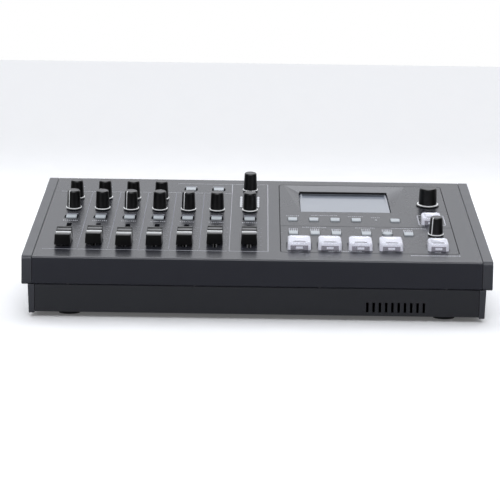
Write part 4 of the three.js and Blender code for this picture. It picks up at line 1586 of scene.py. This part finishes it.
@dataclass
class Inset:
    """The black band of painted shade round the fascia, and the liquid-crystal display in its sunk well with
    the lamp beside it.

    Attributes:
        window_u: Left and right end of the display's lens.
        window_v: Front and rear end of the lens.
        sink: How deep the lens lies.
        edge: Width of the printed edge on the lens.
        rear_shade: Depth of the black bar of painted shade along the lens's rear end, and the height of its
            top.
        lamp: Place of the status lamp.
        span_u: Left and right edge of the fascia.
        span_v: Front and rear edge of the fascia.
        corner: Corner radius of the fascia.
        gap_shade_width: Width of the black band of painted shade round the fascia.
        gap_shade_h: Underside and top of that band.
    """

    window_u: tuple[float, float] = (36.7, 114.5)
    window_v: tuple[float, float] = (132.2, 197.6)
    sink: float = 3.0
    edge: float = 1.0
    rear_shade: tuple[float, float] = (1.3, -1.5)
    lamp: tuple[float, float] = (100.5, 110.0)
    span_u: tuple[float, float] = (19.1, 162.9)
    span_v: tuple[float, float] = (20.0, 212.0)
    corner: float = 3.0
    gap_shade_width: float = 0.6
    gap_shade_h: tuple[float, float] = (-1.7, -0.35)

    def build_display(self) -> None:
        """Dresses the display module, prints its edge, and adds a black bar of painted shade along the well's
        rear wall and the lamp.
        """
        dress(frame["nodes"]["display_module"].data, Finishes.DISPLAY_GLASS)
        (left, right), (front, rear) = self.window_u, self.window_v
        middle = (left + right) / 2, (front + rear) / 2
        half_u, half_v = (right - left) / 2 - 1.2, (rear - front) / 2 - 2.4
        edge = hoop(half_u, half_v, 0.6, self.edge, -self.sink - 0.03, -self.sink + 0.02, 0.01)
        make_piece("display_edge", edge.moved(*middle), Finishes.DISPLAY_EDGE)
        # Painted shade: a black bar stands in for the shade on the well's rear wall above the lens.
        depth, top = self.rear_shade
        rear_shade = bars([(left, right, rear - depth, rear - 0.05)], -self.sink + 0.01, top)
        make_piece("display_rear_shade", rear_shade, Finishes.GAP_SHADE)
        lens = eased([(0.1, -0.5), (0.9, -0.5), (0.9, 0.3), (0.1, 0.35)], 0.3, 3)
        make_piece("status_lamp", lathe(lens, 24).moved(*self.lamp), Finishes.LAMP_LENS)
        log.info("display ready")

    def build_gap_shade(self) -> None:
        """Lays a black band of painted shade in the gap round the fascia."""
        (left, right), (front, rear) = self.span_u, self.span_v
        reach = self.gap_shade_width + 0.05
        half_u, half_v = (right - left) / 2 + reach, (rear - front) / 2 + reach
        # Painted shade: a black band fills the gap round the fascia, where there is only shade.
        ring = hoop(half_u, half_v, self.corner + reach, self.gap_shade_width, *self.gap_shade_h, 0.05)
        make_piece("fascia_gap_shade", ring.moved((left + right) / 2, (front + rear) / 2), Finishes.GAP_SHADE)


# ---- Rear sockets ----------------------------------------------------------------------------------


@dataclass
class RearPanel:
    """Trim of the sockets in the rear wall: nuts, shells, contacts, the power inlet and the switch's bezel.

    Attributes:
        nose_y: Place of the sockets' faces.
        wall_y: Outer face of the rear wall.
        socket_z: Height of the row of sockets.
        mic_x: Places of the combination microphone sockets.
        line_x: Places of the jack sockets.
        video_x: Places of the video sockets.
        data_x: Place of the data socket.
        inlet_x: Place of the power inlet.
        switch_x: Place of the power switch.
        rocker_lean: How far the rocker leans to its off side at rest, in degrees.
    """

    nose_y: float = 109.9
    wall_y: float = 109.5
    socket_z: float = 30.0
    mic_x: tuple[float, ...] = (-158, -128)
    line_x: tuple[float, ...] = (-100, -82, -64, -46)
    video_x: tuple[float, ...] = (-14, 8, 30, 52, 84, 106)
    data_x: float = 128.0
    inlet_x: float = 142.0
    switch_x: float = 164.0
    rocker_lean: float = 8.0

    def add(self, name: str, surface: Surface, finish: Finishes, x: float) -> None:
        """Adds a piece drawn about a socket's axis, out of its face."""
        make_piece(name, surface, finish, facing_rear(x, self.socket_z, self.nose_y))

    def add_ring(self, name: str, x: float, outline: Outline, finish: Finishes, sides: int = 64) -> None:
        """Turns a closed section about a socket's axis.

        Args:
            name: The piece's name.
            x: The socket's place.
            outline: The section's corners, as (radius, distance out of the face).
            finish: Its finish.
            sides: Number of sides; six make a hexagonal nut.
        """
        self.add(name, lathe(eased(outline, 0.15, 3, closed=True), sides, looped=True), finish, x)

    def add_mic_socket(self, name: str, x: float) -> None:
        """Face, latch, jack ring and three sprung contacts of a combination socket.

        Args:
            name: The socket's name.
            x: Its place.
        """
        face = [(4.4, -0.1), (11.7, -0.1), (11.7, 1.1), (11.2, 1.4), (9.3, 1.4), (8.9, 0.6), (4.4, 0.25)]
        self.add_ring(f"{name}_face", x, face, Finishes.SOCKET_PLASTIC)
        self.add_ring(f"{name}_jack_ring", x, tube(3.45, 4.35, -0.1, 0.8), Finishes.NICKEL)
        latch = stack(slab_levels(5.6, 2.0, 0.5, 0.4, 1.55, 0.3)).moved(0, 9.6)
        self.add(f"{name}_latch", latch, Finishes.BLACK_PLASTIC, x)
        contact = lathe(eased(tube(0.45, 1.2, 0.1, 0.7), 0.15, 3, closed=True), 24, looped=True)
        angles = [math.radians(degrees) for degrees in (210, 270, 330)]
        contacts = together([contact.moved(6.6 * math.cos(a), 6.6 * math.sin(a)) for a in angles])
        self.add(f"{name}_contacts", contacts, Finishes.GILT, x)

    def add_jack(self, name: str, x: float) -> None:
        """Washer, hexagonal nut and threaded bushing of a jack socket."""
        nut = [(3.5, 0.02), (6.7, 0.02), (6.7, 1.1), (6.3, 1.3), (3.5, 1.3)]
        self.add_ring(f"{name}_washer", x, tube(5.6, 7.4, -0.38, -0.05), Finishes.NICKEL)
        self.add_ring(f"{name}_nut", x, nut, Finishes.NICKEL, 6)
        self.add_ring(f"{name}_bushing", x, tube(3.4, 4.3, -0.05, 1.55), Finishes.NICKEL)

    def add_shell(self, name: str, x: float, half_width: float, half_height: float, contacts: int) -> None:
        """Plated shell, flange and contacts of a flat socket.

        Args:
            name: The socket's name.
            x: Its place.
            half_width: Outer half-width of the shell.
            half_height: Outer half-height of the shell.
            contacts: Number of contacts on the tongue.
        """
        self.add(f"{name}_shell", hoop(half_width, half_height, 1.0, 0.55, -0.05, 0.7), Finishes.NICKEL, x)
        flange = hoop(half_width + 1.9, half_height + 1.9, 1.4, 1.35, -0.38, -0.1, 0.08)
        self.add(f"{name}_flange", flange, Finishes.NICKEL, x)
        middles = (np.arange(contacts) + 0.5) / contacts * half_width * 1.2 - half_width * 0.6
        strips = [(m - 0.2, m + 0.2, half_height * 0.2, half_height * 0.2 + 0.08) for m in middles]
        self.add(f"{name}_contacts", bars(strips, -7.0, -1.3), Finishes.GILT, x)

    def add_rocker(self) -> None:
        """The power rocker: its outline seen from above, laid over to the off side and carried up."""
        x, y, z = (value / MM for value in JOINTS["power_rocker"]["pos_m"])
        place = Upright((x, y, z), (0, 0, 1), (0, 1, 0))
        outline = eased([(-5.4, -2.4), (5.4, -2.4), (6.8, 6.3), (0, 5.2), (-6.8, 6.3)], 0.7, 4, closed=True)
        tilt = math.radians(self.rocker_lean)
        turn = np.array([(math.cos(tilt), -math.sin(tilt)), (math.sin(tilt), math.cos(tilt))])
        stations = np.array([-4.6, -4.45, -4.1, 4.1, 4.45, 4.6])
        insets = np.array([0.5, 0.15, 0, 0, 0.15, 0.5])
        rocker = carried(outline @ turn, stations, insets)
        node = "power_rocker"
        make_piece(f"{node}_cap", rocker, Finishes.BLACK_PLASTIC, place, body=node, stands_for=node)

    def print_labels(self) -> None:
        """Prints a plain bar over each socket and a line over each group."""
        groups = [(min(self.mic_x) - 15, max(self.mic_x) + 15), (min(self.line_x) - 10, max(self.line_x) + 10)]
        groups += [(self.video_x[0] - 11, self.video_x[3] + 11), (self.video_x[4] - 11, self.video_x[5] + 11)]
        sockets = self.mic_x + self.line_x + self.video_x + (self.data_x, self.inlet_x, self.switch_x)
        rects = [(-x - 3.5, -x + 3.5, 14.8, 16.0) for x in sockets]
        rects += [(-high, -low, 18.4, 18.8) for low, high in groups]
        print_bars("rear_print", rects, Finishes.PRINT_INK, facing_rear(0, self.socket_z, self.wall_y))

    def build(self) -> None:
        """Dresses the boards and adds the trim of every socket."""
        dress(frame["nodes"]["panel_board"].data, Finishes.BOARD)
        dress(frame["nodes"]["socket_board"].data, Finishes.SOCKET_PLASTIC)
        for number, x in enumerate(self.mic_x, 1):
            self.add_mic_socket(f"mic_socket_{number}", x)
        for number, x in enumerate(self.line_x, 1):
            self.add_jack(f"line_socket_{number}", x)
        for number, x in enumerate(self.video_x, 1):
            self.add_shell(f"video_socket_{number}", x, 7.6, 3.0, 9)
        self.add_shell("data_socket", self.data_x, 4.7, 1.8, 4)
        collar = [(3.4, -0.05), (5.3, -0.05), (5.3, 0.8), (4.9, 1.0), (3.4, 0.6)]
        self.add_ring("power_inlet_collar", self.inlet_x, collar, Finishes.SOCKET_PLASTIC)
        bezel = hoop(9.9, 7.0, 1.2, 1.5, 0.02, 1.1, 0.3)
        self.add("power_switch_bezel", bezel, Finishes.SOCKET_PLASTIC, self.switch_x)
        self.add_rocker()
        self.print_labels()
        log.info("rear panel ready")


# ---- Assembly --------------------------------------------------------------------------------------


@dataclass
class ControlDesk:
    """The whole desk, sub-assembly by sub-assembly.

    Attributes:
        case: The case.
        inset: The display and the painted shade round the fascia.
        rear: The rear sockets.
        fascia_edge: Ease on the fascia's edges, in millimetres.
    """

    case: Case = field(default_factory=Case)
    inset: Inset = field(default_factory=Inset)
    rear: RearPanel = field(default_factory=RearPanel)
    fascia_edge: float = 0.2

    def controls(self) -> list[Knob | Fader | SmallButton | LargeButton]:
        """Every control that moves, except the rocker at the rear."""
        small = [f"level_knob_{n}" for n in STRIPS] + [f"gain_knob_{n}" for n in STRIPS[:4]] + ["monitor_knob"]
        knobs = [Knob(node, KnobKind.SMALL) for node in small]
        knobs += [Knob("encoder_knob", KnobKind.ENCODER), Knob("effect_knob", KnobKind.SIDE)]
        faders = [Fader(f"fader_{n}") for n in STRIPS]
        keys = [SmallButton(node, side_margin=1.9) for node in CHANNEL_KEYS]
        keys += [SmallButton(f"menu_button_{n}") for n in range(1, 6)]
        keys += [SmallButton(f"function_button_{n}", corner=4.1 if n == 5 else 0.9) for n in range(1, 7)]
        large = [f"scene_button_{n}" for n in range(1, 5)] + ["output_button", "take_button"]
        return knobs + faders + keys + [LargeButton(node) for node in large]

    def build(self) -> None:
        """Builds all of it."""
        self.case.build()
        eased_copy("control_fascia", self.fascia_edge, Finishes.FASCIA_PLASTIC)
        for control in self.controls():
            control.build()
        log.info("controls ready")
        DeckPrint().build()
        LevelStrip("level_lamp_left", -14.6).build()
        LevelStrip("level_lamp_right", 0.15).build()
        self.inset.build_display()
        self.inset.build_gap_shade()
        self.rear.build()


def main() -> None:
    logging.basicConfig(level=logging.INFO, format="%(name)s: %(message)s")
    Studio().build()
    ControlDesk().build()
    log.info("desk ready")


if __name__ == "__main__":
    main()
